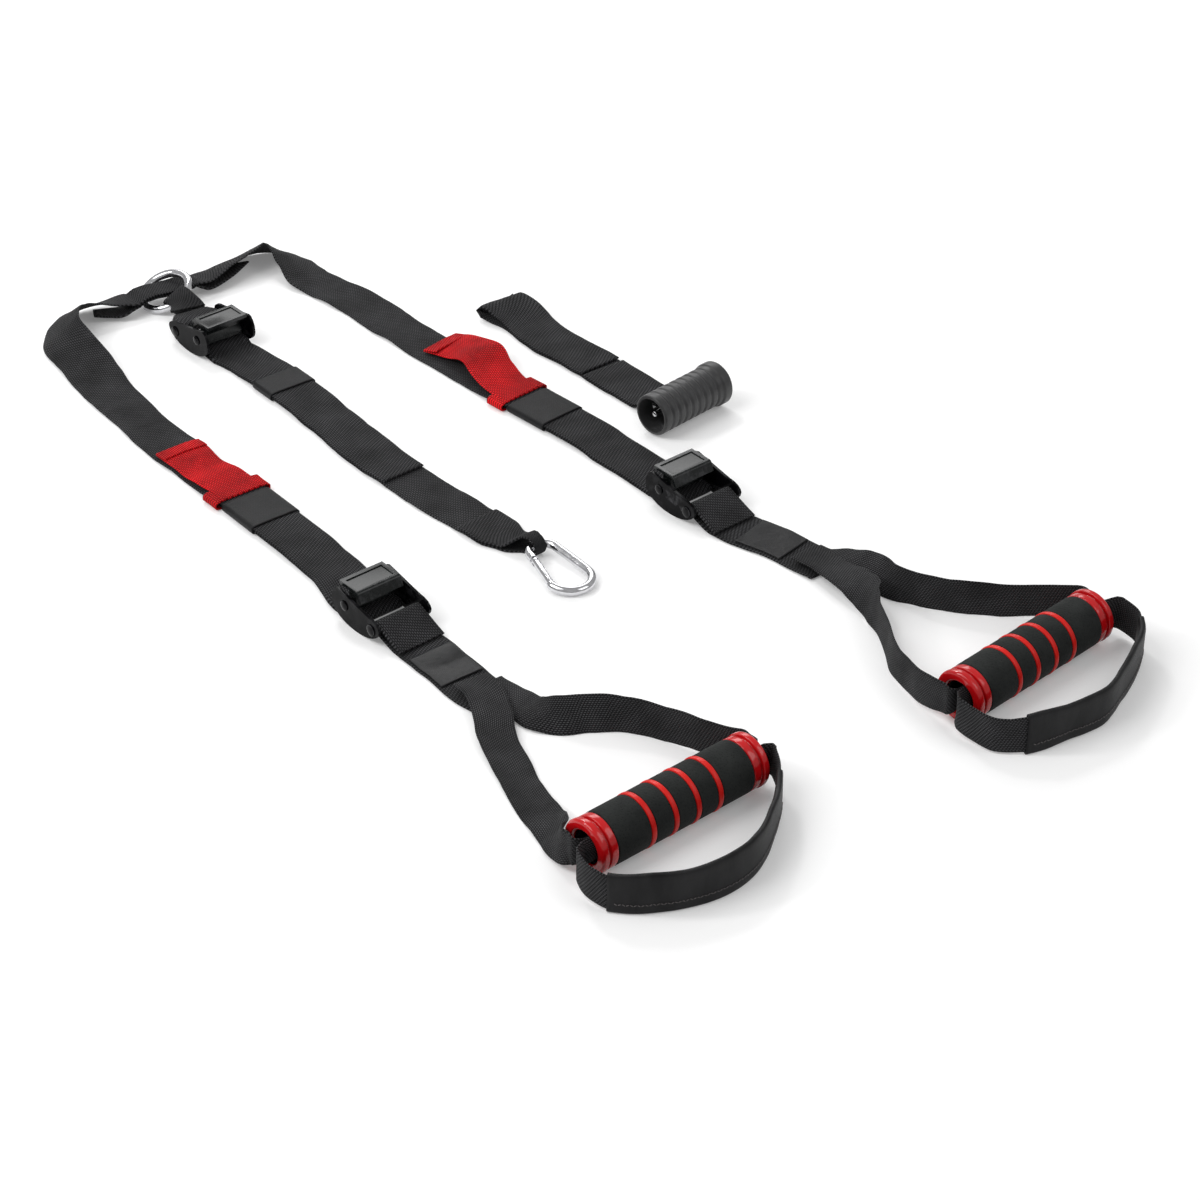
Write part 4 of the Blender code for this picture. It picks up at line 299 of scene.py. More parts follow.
class Finish:
    """A material and the nodes in it."""

    def __init__(self, name, colour, roughness, metallic=0.0, **more):
        self.material = bpy.data.materials.new(name)
        self.material.use_nodes = True
        self.material.diffuse_color = (*colour, 1)
        self.nodes = self.material.node_tree.nodes
        self.links = self.material.node_tree.links
        self.shader = self.nodes["Principled BSDF"]
        more.update(Base_Color=colour, Roughness=roughness, Metallic=metallic)
        for key, value in more.items():
            self.feed(self.shader.inputs[key.replace("_", " ")], value)

    def feed(self, socket, value):
        """Give a socket a number, a vector, a colour or another node's output."""
        if isinstance(value, bpy.types.NodeSocket):
            self.links.new(value, socket)
        else:
            socket.default_value = (*value, 1) if socket.type == "RGBA" else value

    def add(self, kind, inputs=None, output=0, **settings):
        """A new node's output. The node's inputs are given by name or number."""
        node = self.nodes.new(kind)
        for key, value in settings.items():
            setattr(node, key, value)
        for key, value in (inputs or {}).items():
            self.feed(node.inputs[key], value)
        return node.outputs[output]

    def math(self, operation, *values):
        return self.add("ShaderNodeMath", dict(enumerate(values)), operation=operation)

    def wave(self, value, turns):
        """The sine of a value that goes round so many times for each unit."""
        return self.math("SINE", self.math("MULTIPLY", value, turns * FULL_TURN))

    def hump(self, value):
        """One rise and fall for each whole number that the value passes."""
        return self.math("SINE", self.math("MULTIPLY", self.math("FRACT", value), math.pi))

    def lay(self):
        """How far across a strap, how far along it, and how near its edge a point is."""
        source = self.add("ShaderNodeAttribute", None, "Vector", attribute_name="lay")
        return self.add("ShaderNodeSeparateXYZ", {0: source}).node.outputs

    def place(self):
        return self.add("ShaderNodeTexCoord", None, "Object")

    def noise(self, scale, detail=3.0, roughness=0.5, stretch=None):
        place = self.place()
        if stretch:
            place = self.add("ShaderNodeMapping", {"Vector": place, "Scale": stretch})
        inputs = {"Scale": scale, "Detail": detail, "Roughness": roughness, "Vector": place}
        return self.add("ShaderNodeTexNoise", inputs, "Fac")

    def cells(self, scale):
        return self.add("ShaderNodeTexVoronoi", {"Scale": scale, "Vector": self.place()}, "Distance")

    def ramp(self, value, *stops):
        """A ramp through (position, colour) stops, where a number stands for a grey."""
        ramp = self.add("ShaderNodeValToRGB", {0: value})
        for element, (position, colour) in zip(ramp.node.color_ramp.elements, stops):
            element.position = position
            element.color = (*colour, 1) if isinstance(colour, tuple) else (colour, colour, colour, 1)
        return ramp

    def mixed(self, share, one, two, kind="MIX"):
        return self.add("ShaderNodeMix", {0: share, 6: one, 7: two}, 2, data_type="RGBA", blend_type=kind)

    def between(self, share, one, two):
        return self.add("ShaderNodeMix", {0: share, 2: one, 3: two}, data_type="FLOAT")

    def colour(self, value):
        self.feed(self.shader.inputs["Base Color"], value)

    def roughness(self, value, low, high):
        spread = self.add("ShaderNodeMapRange", {0: value, "To Min": low, "To Max": high})
        self.feed(self.shader.inputs["Roughness"], spread)

    def bump(self, height, distance, strength=1.0):
        normal = self.shader.inputs["Normal"]
        inputs = {"Height": height, "Distance": distance, "Strength": strength}
        if normal.is_linked:
            inputs["Normal"] = normal.links[0].from_socket
        self.feed(normal, self.add("ShaderNodeBump", inputs))


def scaled(colour, share):
    return tuple(min(1, c * share) for c in colour)


def woven(name, low, high, yarn_width, float_length, depth, lint=None, **more):
    """Webbing: floats of yarn, each row set on by a third of a float, with selvages and a little lint. The
    yarn's crowns are painted light and the hollows between them painted dark: painted highlight and painted
    shade.
    """
    finish = Finish(name, high, 0.8, **more)
    across, along, near_edge = finish.lay()
    row = finish.math("DIVIDE", across, yarn_width)
    step = finish.math("DIVIDE", along, float_length)
    shifted = finish.math("MULTIPLY_ADD", finish.math("FLOOR", row), 1 / 3, step)
    yarn = finish.math("POWER", finish.hump(row), 0.7)
    yarn = finish.math("MULTIPLY", yarn, finish.math("POWER", finish.hump(shifted), 0.45))
    selvage = finish.math("GREATER_THAN", near_edge, SELVAGE_START)
    edge = finish.math("MULTIPLY_ADD", finish.wave(step, 1), 0.35, 0.6)
    height = finish.between(selvage, yarn, edge)
    soiled = finish.ramp(finish.noise(38, 4, 0.6), (0.3, 0.6), (0.7, 1.35))
    # Colour follows the weave's height: painted highlight on the yarn's crowns and painted shade in the
    # hollows, times random soiling.
    shade = finish.mixed(1.0, finish.ramp(height, (0.4, low), (0.97, high)), soiled, "MULTIPLY")
    fuzz = finish.noise(900, 2, 0.7)
    specks = finish.math("MULTIPLY", finish.ramp(fuzz, (0.66, 0), (0.8, 1)), 0.16)
    finish.colour(finish.mixed(specks, shade, lint or high))
    finish.roughness(height, 0.88, 0.68)
    finish.bump(fuzz, 0.00012, 0.5)
    finish.bump(height, depth, 0.9)
    return finish.material


def thread(name, colour):
    finish = Finish(name, colour, 0.6, Sheen_Weight=0.15)
    twist = finish.noise(2600, 2, 0.6, (1, 1, 0.3))
    # Colour follows the twist's height: the thread's ridges painted lighter and its grooves darker, as
    # painted highlight and painted shade.
    finish.colour(finish.ramp(twist, (0.3, scaled(colour, 0.7)), (0.75, scaled(colour, 1.3))))
    finish.bump(twist, 0.00008, 0.6)
    return finish.material


def folded_tape():
    """Smooth keeper tape with fine ribs across it."""
    finish = Finish("keeper_tape", (0.008, 0.008, 0.0085), 0.42, Specular_IOR_Level=0.13)
    rib = finish.wave(finish.lay()[1], 1 / KEEPER_RIB)
    grain = finish.noise(700, 3, 0.6)
    mottle = finish.noise(45, 3)
    finish.colour(finish.ramp(mottle, (0.3, (0.005, 0.005, 0.0055)), (0.7, (0.012, 0.012, 0.013))))
    finish.roughness(grain, 0.34, 0.52)
    finish.bump(grain, 0.0001, 0.4)
    finish.bump(rib, 0.00009, 0.5)
    return finish.material


def coated_tube():
    """Smooth woven sleeve with a dull sheen and fine creases, whose hollows are painted darker and ridges
    lighter as painted shade and painted highlight.
    """
    finish = Finish("sleeve_fabric", (0.01, 0.01, 0.011), 0.5, Specular_IOR_Level=0.16)
    crease = finish.noise(60, 4, 0.6, (1, 1, 0.35))
    grain = finish.noise(1500, 2, 0.6)
    across, along, _ = finish.lay()
    weave = finish.math("MULTIPLY", *(finish.wave(way, 1 / SLEEVE_WEAVE) for way in (across, along)))
    # Crease colour is painted shade in the hollows and painted highlight on the ridges.
    finish.colour(finish.ramp(crease, (0.3, (0.006, 0.006, 0.0065)), (0.72, (0.016, 0.016, 0.017))))
    finish.roughness(grain, 0.4, 0.58)
    finish.bump(weave, 0.00005, 0.5)
    finish.bump(crease, 0.0008, 0.5)
    return finish.material


def satin_patch():
    """Bare label: smooth satin ribbon with hairline ribs, and creases whose hollows are painted darker and
    ridges lighter as painted shade and painted highlight.
    """
    finish = Finish("label_satin", (0.009, 0.009, 0.010), 0.36, Specular_IOR_Level=0.14)
    rib = finish.wave(finish.lay()[0], 1 / LABEL_RIB)
    crease = finish.noise(70, 3, 0.55)
    # Crease colour is painted shade in the hollows and painted highlight on the ridges.
    finish.colour(finish.ramp(crease, (0.3, (0.006, 0.006, 0.0065)), (0.7, (0.014, 0.014, 0.015))))
    finish.roughness(crease, 0.3, 0.46)
    finish.bump(rib, 0.00004, 0.5)
    finish.bump(crease, 0.0009, 0.6)
    return finish.material


def coated_metal(name, colour, roughness, worn, shine):
    """Black coat over metal, with bare metal showing where edges rub."""
    finish = Finish(name, colour, roughness, Specular_IOR_Level=shine)
    peel = finish.noise(300, 2, 0.4)
    marks = finish.noise(130, 4, 0.65)
    pointed = finish.add("ShaderNodeNewGeometry", None, "Pointiness")
    edge = finish.ramp(pointed, (0.53, 0), (0.6, 1))
    rubbed = finish.math("MULTIPLY", edge, finish.ramp(marks, (0.45, 0), (0.62, 1)))
    finish.colour(finish.mixed(finish.math("MULTIPLY", rubbed, worn), colour, RUBBED))
    finish.roughness(marks, roughness * 0.85, roughness * 1.2)
    finish.bump(peel, 0.00006, 0.3)
    return finish.material


def bare_metal(name, colour, roughness, brushed):
    """Plated steel with fine handling marks."""
    finish = Finish(name, colour, roughness, 1.0)
    marks = finish.noise(240, 4, 0.7)
    fine = finish.noise(1500, 2, 0.6, brushed)
    finish.colour(finish.ramp(marks, (0.25, scaled(colour, 0.78)), (0.75, scaled(colour, 1.1))))
    finish.roughness(marks, roughness * 0.6, roughness * 1.7)
    finish.bump(fine, 0.00006, 0.3)
    return finish.material


def foam_skin():
    """Closed foam: fine open cells, painted shade in the pits, soft mottling and a hint of green grey."""
    finish = Finish("grip_foam", (0.019, 0.021, 0.020), 0.93, Specular_IOR_Level=0.12, Sheen_Weight=0.04)
    cells = finish.cells(1500)
    pits = finish.cells(620)
    mottle = finish.noise(55, 4, 0.6)
    shade = finish.ramp(mottle, (0.3, (0.0145, 0.016, 0.0155)), (0.7, (0.025, 0.027, 0.026)))
    # Pits painted darker: painted shade in the hollows of the foam.
    dark = finish.ramp(pits, (0.05, 0.45), (0.32, 1.0))
    finish.colour(finish.mixed(1.0, shade, dark, "MULTIPLY"))
    finish.roughness(cells, 0.82, 0.98)
    finish.bump(cells, 0.00016, 0.5)
    finish.bump(pits, 0.0003, 0.5)
    return finish.material


def moulded(name, low, high, roughness, grain, **more):
    """Moulded plastic with a faint grain and flow marks."""
    finish = Finish(name, high, roughness, **more)
    flow = finish.noise(26, 3, 0.6, (1, 1, 2.5))
    fine = finish.noise(grain, 3, 0.6)
    finish.colour(finish.ramp(flow, (0.28, low), (0.72, high)))
    finish.roughness(fine, roughness * 0.8, roughness * 1.3)
    finish.bump(fine, 0.00008, 0.35)
    return finish.material


# Meshes

BEVEL_SEGMENTS = 2
BEVEL_ANGLE = 32
SHARP_ANGLE = 44
PIN_SHARP_ANGLE = 50


def shown(name, shape, finish, matrix=None, smooth=True):
    """A new piece from a bmesh, its faces facing out."""
    bmesh.ops.recalc_face_normals(shape, faces=shape.faces[:])
    mesh = bpy.data.meshes.new(name)
    shape.to_mesh(mesh)
    shape.free()
    if matrix is not None:
        mesh.transform(matrix)
    for face in mesh.polygons:
        face.use_smooth = smooth
    piece = bpy.data.objects.new(name, mesh)
    bpy.context.scene.collection.objects.link(piece)
    mesh.materials.append(finish)
    return piece


def cube(size):
    shape = bmesh.new()
    bmesh.ops.create_cube(shape, size=size)
    return shape


def placed(spot, turns=(0, 0, 0)):
    """The matrix of a place in millimetres, turned about X, Y and Z, or about Z alone, in degrees."""
    if not isinstance(turns, tuple):
        turns = (0, 0, turns)
    matrix = Matrix.Translation(Vector(spot) * MM)
    for degrees, axis in zip(turns, "XYZ"):
        matrix = matrix @ Matrix.Rotation(math.radians(degrees), 4, axis)
    return matrix


def settled(piece):
    """The piece with its modifiers made part of its mesh."""
    graph = bpy.context.evaluated_depsgraph_get()
    graph.update()
    mesh = bpy.data.meshes.new_from_object(piece.evaluated_get(graph), depsgraph=graph)
    piece.modifiers.clear()
    piece.data = mesh
    return piece


def with_round_edges(piece, width, angle=BEVEL_ANGLE):
    bevel = piece.modifiers.new("rounded", "BEVEL")
    bevel.width = width * MM
    bevel.segments = BEVEL_SEGMENTS
    bevel.limit_method = "ANGLE"
    bevel.angle_limit = math.radians(angle)
    bevel.harden_normals = True
    bevel.use_clamp_overlap = True
    piece.data.set_sharp_from_angle(angle=math.radians(SHARP_ANGLE))
    return settled(piece)


def carried(piece, body, *nodes, slot=None):
    """Fix a piece to its body and hide the nodes it stands for. The slot it is given is not used."""
    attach(piece, body)
    if nodes:
        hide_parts(*nodes)
    return piece


def dressed(node, finish, width):
    """A copy of a node's own shape with its edges rounded."""
    source = frame["nodes"][node]
    shape = bmesh.new()
    shape.from_mesh(source.data)
    bmesh.ops.remove_doubles(shape, verts=shape.verts[:], dist=0.00001)
    bmesh.ops.dissolve_limit(
        shape, angle_limit=math.radians(1), verts=shape.verts[:], edges=shape.edges[:], delimit=set()
    )
    piece = with_round_edges(shown(node + "_piece", shape, finish), width)
    return carried(piece, source["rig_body"], node)


def finished(node, finish):
    """A node of the frame that shows as it is, in a finish of its own."""
    materials = frame["nodes"][node].data.materials
    materials.clear()
    materials.append(finish)


def circle(count):
    return [FULL_TURN * k / count for k in range(count)]


def join_loops(shape, one, two):
    for k in range(len(one)):
        after = (k + 1) % len(one)
        shape.faces.new((one[k], one[after], two[after], two[k]))


def turned(profile, segments=72):
    """A closed profile of (x, radius) in millimetres, turned about X."""
    shape = bmesh.new()
    loops = []
    for x, radius in profile:
        angles = circle(segments) if radius else [0]
        loops.append([
            shape.verts.new(Vector((x, radius * math.cos(a), radius * math.sin(a))) * MM) for a in angles
        ])
    for one, two in zip(loops, loops[1:] + loops[:1]):
        if len(one) == len(two) == 1:
            continue
        for k in range(segments):
            after = (k + 1) % segments
            corners = [one[k % len(one)], one[after % len(one)], two[after % len(two)], two[k % len(two)]]
            shape.faces.new(list(dict.fromkeys(corners)))
    return shape


def rounded(profile, radius, steps=3):
    """The closed profile with each corner off the axis replaced by a short curve."""
    made = []
    for i, here in enumerate(profile):
        here = Vector(here)
        before = Vector(profile[i - 1])
        after = Vector(profile[(i + 1) % len(profile)])
        if here.y == 0:
            made.append(tuple(here))
            continue
        reach = min(radius, (before - here).length * 0.45, (after - here).length * 0.45)
        start = here + (before - here).normalized() * reach
        end = here + (after - here).normalized() * reach
        for k in range(steps + 1):
            t = k / steps
            made.append(tuple((1 - t) ** 2 * start + 2 * t * (1 - t) * here + t * t * end))
    return made


def wire(points, radius, closed=False, swell=None, sides=22):
    """A round wire along its points, in millimetres."""
    shape = bmesh.new()
    last = len(points) - 1
    loops = []
    for i, point in enumerate(points):
        before = points[i - 1] if closed or i else points[0]
        after = points[(i + 1) % len(points)] if closed else points[min(i + 1, last)]
        along = (after - before).normalized()
        one = UP.cross(along).normalized()
        two = along.cross(one)
        thick = radius * (swell(i / last) if swell else 1)
        spots = [point + thick * (math.cos(a) * one + math.sin(a) * two) for a in circle(sides)]
        loops.append([shape.verts.new(spot * MM) for spot in spots])
    for one, two in zip(loops, loops[1:]):
        join_loops(shape, one, two)
    if closed:
        join_loops(shape, loops[-1], loops[0])
    else:
        shape.faces.new(loops[0])
        shape.faces.new(loops[-1][::-1])
    return shape


def arc(centre, radius, start, end, steps):
    angles = [math.radians(start + (end - start) * i / steps) for i in range(steps + 1)]
    return [Vector((centre[0] + radius * math.cos(a), centre[1] + radius * math.sin(a), 0)) for a in angles]


# Webbing

# Where a strap's points are across it, and how square a section's edges are
EDGE_SHARES = (-0.5, -0.494, -0.475, -0.43, -0.33, -0.17, 0, 0.17, 0.33, 0.43, 0.475, 0.494, 0.5)
EDGE_SQUARENESS = 14
TUBE_POINTS = 28
TUBE_SQUARENESS = (0.28, 0.5)
THREAD_SIDES = 6

Station = namedtuple("Station", "point across width bow")
Section = namedtuple("Section", "point across out along width bow length")


def stations(rows):
    made, held = [], [1, 0, 0, 0, 0]
    for x, y, z, *given in rows:
        held = given + held[len(given):]
        made.append(Station(Vector((x, y, z)), Vector(held[:3]).normalized(), held[3], held[4]))
    return made


def blended(a, b, c, d, t):
    """A Catmull-Rom curve from b to c."""
    return 0.5 * (2 * b + (c - a) * t + (2 * a - 5 * b + 4 * c - d) * t**2 + (3 * b - a - 3 * c + d) * t**3)


def eased(t):
    return t * t * (3 - 2 * t)


def laid(rows, step=3.0):
    """Sections along a strap, close together, that never dip below the stations they lie between."""
    held = stations(rows)
    last = len(held) - 1
    fine = []
    for i in range(last):
        a, b, c, d = (held[min(max(k, 0), last)] for k in (i - 1, i, i + 1, i + 2))
        count = max(2, round((c.point - b.point).length / step))
        for k in range(count):
            t = k / count
            point = blended(a.point, b.point, c.point, d.point, t)
            point.z = min(max(point.z, min(b.point.z, c.point.z)), max(b.point.z, c.point.z))
            ease = eased(t)
            across = b.across.lerp(c.across, ease).normalized()
            width = b.width + (c.width - b.width) * ease
            fine.append(Station(point, across, width, b.bow + (c.bow - b.bow) * ease))
    fine.append(held[last])
    made, length = [], 0.0
    for i, spot in enumerate(fine):
        before, after = fine[max(i - 1, 0)].point, fine[min(i + 1, len(fine) - 1)].point
        along = (after - before).normalized()
        across = (spot.across - spot.across.dot(along) * along).normalized()
        if i:
            length += (spot.point - fine[i - 1].point).length
        made.append(Section(spot.point, across, across.cross(along), along, spot.width, spot.bow, length))
    return made


def surface(section, share, rise):
    """A point on a section: share is -0.5 to 0.5 across it, rise is its height over the middle."""
    bow = section.out * section.bow
    slope = section.across * section.width - 8 * share * bow
    out = slope.cross(section.along).normalized()
    spot = section.point + share * section.across * section.width + (1 - 4 * share * share) * bow
    return spot + rise * out, out


def crumpled(spot):
    """The point moved as the webbing is creased there: not at all near metal, foam and keepers."""
    far = min(math.hypot(spot.x - x, spot.y - y) - radius for x, y, radius in STILL)
    share = min(max(far / CREASE_FADE, 0.0), 1.0)
    if share == 0:
        return spot
    fold = noise.noise_vector(spot / FOLD_SPAN)
    wrinkle = noise.noise_vector(spot / WRINKLE_SPAN + Vector((40, 0, 0)))
    lift = max(0.0, 2.4 * fold.z + 0.5 * wrinkle.z)
    return spot + eased(share) * Vector((1.9 * fold.x + 0.5 * wrinkle.x, 1.2 * fold.y, lift))


def on_floor(shape, spot):
    """A vertex at the spot, in millimetres, creased as the webbing is there and never under the floor."""
    spot = crumpled(spot)
    spot.z = max(spot.z, 0.0)
    return shape.verts.new(spot * MM)


def strap(name, path, thickness, finish):
    """Webbing with rounded selvages. Each point keeps its place on the webbing, for the weave."""
    shape = bmesh.new()
    lay = shape.verts.layers.float_vector.new("lay")
    loops = []
    flat = max(section.width for section in path)
    for section in path:
        loop = []
        for side, shares in ((1, EDGE_SHARES), (-1, EDGE_SHARES[-2:0:-1])):
            for share in shares:
                half = thickness / 2 * math.sqrt(max(0.0, 1 - abs(2 * share) ** EDGE_SQUARENESS))
                vertex = on_floor(shape, surface(section, share, side * half)[0])
                vertex[lay] = (share * flat * MM, section.length * MM, abs(2 * share))
                loop.append(vertex)
        loops.append(loop)
    for one, two in zip(loops, loops[1:]):
        join_loops(shape, one, two)
    top = len(EDGE_SHARES)
    for loop in (loops[0], loops[-1]):
        upper = loop[:top]
        lower = [loop[0]] + loop[:top - 1:-1] + [loop[top - 1]]
        for k in range(top - 1):
            corners = [upper[k], upper[k + 1], lower[k + 1], lower[k]]
            shape.faces.new(list(dict.fromkeys(corners)))
    return shown(name, shape, finish)


def tube(name, path, height, wall, finish):
    """A flat sleeve of fabric, open at both ends, whose sections give its inner width."""
    shape = bmesh.new()
    lay = shape.verts.layers.float_vector.new("lay")
    ring = [
        tuple(math.copysign(abs(v) ** p, v) for v, p in zip((math.cos(a), math.sin(a)), TUBE_SQUARENESS))
        for a in circle(TUBE_POINTS)
    ]
    inner, outer = [], []
    for section in path:
        for loops, extra in ((inner, 0), (outer, wall)):
            loop = []
            for x, y in ring:
                spot = section.point + x * section.across * (section.width / 2 + extra)
                vertex = on_floor(shape, spot + y * section.out * (height / 2 + extra))
                vertex[lay] = (x * section.width / 2 * MM, section.length * MM, abs(x))
                loop.append(vertex)
            loops.append(loop)
    for loops in (inner, outer):
        for one, two in zip(loops, loops[1:]):
            join_loops(shape, one, two)
    for end in (0, -1):
        join_loops(shape, inner[end], outer[end])
    return shown(name, shape, finish)


def section_at(path, length):
    after = next((i for i, section in enumerate(path) if section.length >= length), len(path) - 1)
    one, two = path[max(after - 1, 0)], path[after]
    t = 0.0 if two.length == one.length else (length - one.length) / (two.length - one.length)
    t = min(max(t, 0.0), 1.0)
    across = one.across.lerp(two.across, t).normalized()
    along = one.along.lerp(two.along, t).normalized()
    return Section(
        one.point.lerp(two.point, t), across, across.cross(along), along,
        one.width + (two.width - one.width) * t, one.bow + (two.bow - one.bow) * t, length,
    )


def seam(name, path, lines, rise, finish, body, pitch=3.0, stitch=2.3, thick=0.55):
    """Rows of stitches. A line runs from (across, along) to (across, along) in millimetres on the strap."""
    shape = bmesh.new()
    for start, end in lines:
        start, end = Vector(start), Vector(end)
        count = max(1, round((end - start).length / pitch))
        heading = (end - start).normalized()
        for k in range(count):
            middle = start.lerp(end, (k + 0.5) / count)
            section = section_at(path, middle.y)
            spot, out = surface(section, middle.x / section.width, rise)
            spot = crumpled(spot)
            run = (heading.x * section.across + heading.y * section.along).normalized()
            side = run.cross(out).normalized()
            tips, rings = [], []
            for sign in (-1, 1):
                tips.append(shape.verts.new((spot + run * stitch / 2 * sign - out * thick * 0.3) * MM))
                centre = spot + run * stitch * 0.3 * sign
                rings.append([
                    shape.verts.new((centre + thick / 2 * (math.cos(a) * side + math.sin(a) * out)) * MM)
                    for a in circle(THREAD_SIDES)
                ])
            join_loops(shape, *rings)
            for j in range(THREAD_SIDES):
                after = (j + 1) % THREAD_SIDES
                shape.faces.new((tips[0], rings[0][after], rings[0][j]))
                shape.faces.new((tips[1], rings[1][j], rings[1][after]))
    return carried(shown(name, shape, finish), body)


def box_seam(half, start, end, crossed=False):
    """A sewn box, with a cross in it where two layers carry the load."""
    corners = [(-half, start), (half, start), (half, end), (-half, end)]
    lines = list(zip(corners, corners[1:] + corners[:1]))
    if crossed:
        lines += [(corners[0], corners[2]), (corners[1], corners[3])]
    return lines


def length_of(path):
    return path[-1].length


# Surfaces

# Each webbing's low colour is painted shade for the weave's hollows and its high colour painted highlight
# for the yarn's crowns.
BLACK_YARN = woven(
    "black_webbing_fabric", (0.002, 0.002, 0.0025), (0.054, 0.054, 0.057), 1.5 * MM, 2.6 * MM, 0.00045,
    Specular_IOR_Level=0.12, Sheen_Weight=0.03,
)
NARROW_YARN = woven(
    "narrow_webbing_fabric", (0.0025, 0.0025, 0.003), (0.062, 0.062, 0.065), 1.25 * MM, 2.1 * MM, 0.0004,
    Specular_IOR_Level=0.12, Sheen_Weight=0.03,
)
RED_YARN = woven(
    "red_webbing_fabric", (0.20, 0.001, 0.002), (0.78, 0.010, 0.014), 1.5 * MM, 2.3 * MM, 0.0006,
    (0.85, 0.10, 0.10), Specular_IOR_Level=0.15,
)
BLACK_THREAD = thread("black_thread", (0.030, 0.030, 0.032))
SLEEVE_THREAD = thread("sleeve_thread", (0.060, 0.052, 0.052))
RED_THREAD = thread("red_thread", (0.26, 0.003, 0.004))
KEEPER = folded_tape()
SLEEVE = coated_tube()
PATCH = satin_patch()
FRAME_COAT = coated_metal("buckle_coat", (0.002, 0.002, 0.0025), 0.12, 0.25, 0.05)
LEVER_COAT = coated_metal("lever_coat", (0.006, 0.0075, 0.0075), 0.22, 0.25, 0.27)
PIN_COAT = coated_metal("dark_pin_coat", (0.002, 0.002, 0.0025), 0.14, 0.35, 0.12)
SPRING_STEEL = bare_metal("spring_wire_steel", (0.4, 0.4, 0.42), 0.3, (1, 1, 0.3))
ZINC = bare_metal("polished_zinc", (0.70, 0.70, 0.72), 0.12, (0.4, 0.4, 1))
FOAM = foam_skin()
RED_PLASTIC = moulded(
    "red_grip_plastic", (0.42, 0.003, 0.005), (0.60, 0.006, 0.009), 0.15, 420, Specular_IOR_Level=0.5
)
RED_BAND = moulded(
    "red_band_rubber", (0.56, 0.010, 0.008), (0.70, 0.018, 0.012), 0.34, 600, Specular_IOR_Level=0.2
)
BLACK_RUBBER = moulded(
    "door_tube_rubber", (0.013, 0.013, 0.0135), (0.026, 0.026, 0.027), 0.42, 700, Sheen_Weight=0.1
)
CORE_PLASTIC = moulded("core_plastic", (0.012, 0.012, 0.012), (0.02, 0.02, 0.02), 0.4, 500)


# Straps

SLEEVE_ROOM = 0.8
SLEEVE_WALL = 1.0
# Pitch, stitch and thickness of a small seam's thread, in millimetres
SMALL_STITCH = (2.6, 2.0, 0.6)
HEM_STITCH = (2.6, 2.0, 0.55)
TAB_STITCH = (2.4, 2.0, 0.6)
SLEEVE_STITCH = (2.4, 2.1, 0.75)


def webbing_piece(name, path, node, body="harness", thickness=WEBBING, finish=BLACK_YARN):
    return carried(strap(name, path, thickness, finish), body, node, slot="webbing")


def sleeve_rows(foot, last, join, first):
    """The sleeve follows the foot loop's outer side, over the place where the loop's ends meet."""
    points = [row[:3] for row in foot[last::-1]] + [join] + [row[:3] for row in foot[:first - 1:-1]]
    return [(*point, *UP, SLEEVE_WIDTH) for point in points]


def zigzag(path, across=-6.2, swing=1.2, pitch=2.2, margin=4, spare=10):
    """Stitches that go to and fro along a path."""
    count = int((length_of(path) - spare) / pitch)
    points = [(across - swing * (k % 2), margin + pitch * k) for k in range(count + 1)]
    return list(zip(points, points[1:]))


for name, rows, node, step in (
    ("leg_strap", LEG_WEBBING, "leg_webbing", 3.0),
    ("ring_doubler_strap", RING_DOUBLER, "ring_doubler", 3.0),
    ("anchor_strap", ANCHOR_WEBBING, "anchor_webbing", 3.0),
    ("ring_loop_strap", RING_LOOP, "ring_loop", 1.5),
):
    webbing_piece(name, laid(rows, step), node)

for side, fixed_rows, handle_rows, foot_rows, label_rows in (
    ("left", FIXED_WEBBING_LEFT, HANDLE_WEBBING_LEFT, FOOT_LOOP_LEFT, LABEL_LEFT),
    ("right", FIXED_WEBBING_RIGHT, HANDLE_WEBBING_RIGHT, FOOT_LOOP_RIGHT, LABEL_RIGHT),
):
    webbing_piece(f"fixed_strap_{side}", laid(fixed_rows, 1.5), f"fixed_webbing_{side}")
    handle = strap(f"handle_strap_{side}", laid(handle_rows, 2.5), NARROW, NARROW_YARN)
    carried(handle, "harness", f"handle_webbing_{side}", slot="webbing")
    piece = strap(f"foot_strap_{side}", laid(foot_rows, 2.5), NARROW, NARROW_YARN)
    middle = placed(*GRIPS[side])
    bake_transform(piece)
    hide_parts(f"foot_loop_{side}")
    cover = laid(sleeve_rows(*SLEEVES[side]), 2.5)
    sleeve = tube(f"foot_sleeve_{side}", cover, NARROW + SLEEVE_ROOM, SLEEVE_WALL, SLEEVE)
    carried(sleeve, f"foot_{side}", f"loop_sleeve_{side}", slot="sleeve")
    patch = laid(label_rows, 2.0)
    carried(strap(f"label_patch_{side}", patch, LABEL, PATCH), "harness", f"label_{side}", slot="label")
    edge = box_seam(14.6, 2, length_of(patch) - 2)
    seam(f"label_seam_{side}", patch, edge, 0.4, SLEEVE_THREAD, "harness", *SMALL_STITCH)
    seam(f"sleeve_seam_{side}", cover, zigzag(cover), -2.3, SLEEVE_THREAD, f"foot_{side}", *SLEEVE_STITCH)


# Keepers and pull tabs

KEEPER_WIDTH = 37.8
BAND_HEIGHT = 4.9
BAND_WALL = 0.9


def straight(place, turn, length, width):
    """A short straight run of sections about a point, along the strap there."""
    matrix = placed(place, turn)
    across = matrix.to_3x3() @ Vector((1, 0, 0))
    points = [matrix @ Vector((0, share * length * MM, 0)) / MM for share in (-0.5, 0, 0.5)]
    return laid([(*point, *across, width) for point in points], 2.0)


for side, place, turn, length in KEEPERS:
    run = straight(place, turn, length, KEEPER_WIDTH)
    piece = tube(f"keeper_band_{side}", run, BAND_HEIGHT, BAND_WALL, KEEPER)
    carried(piece, f"keeper_{side}", f"keeper_{side}", slot="keeper")

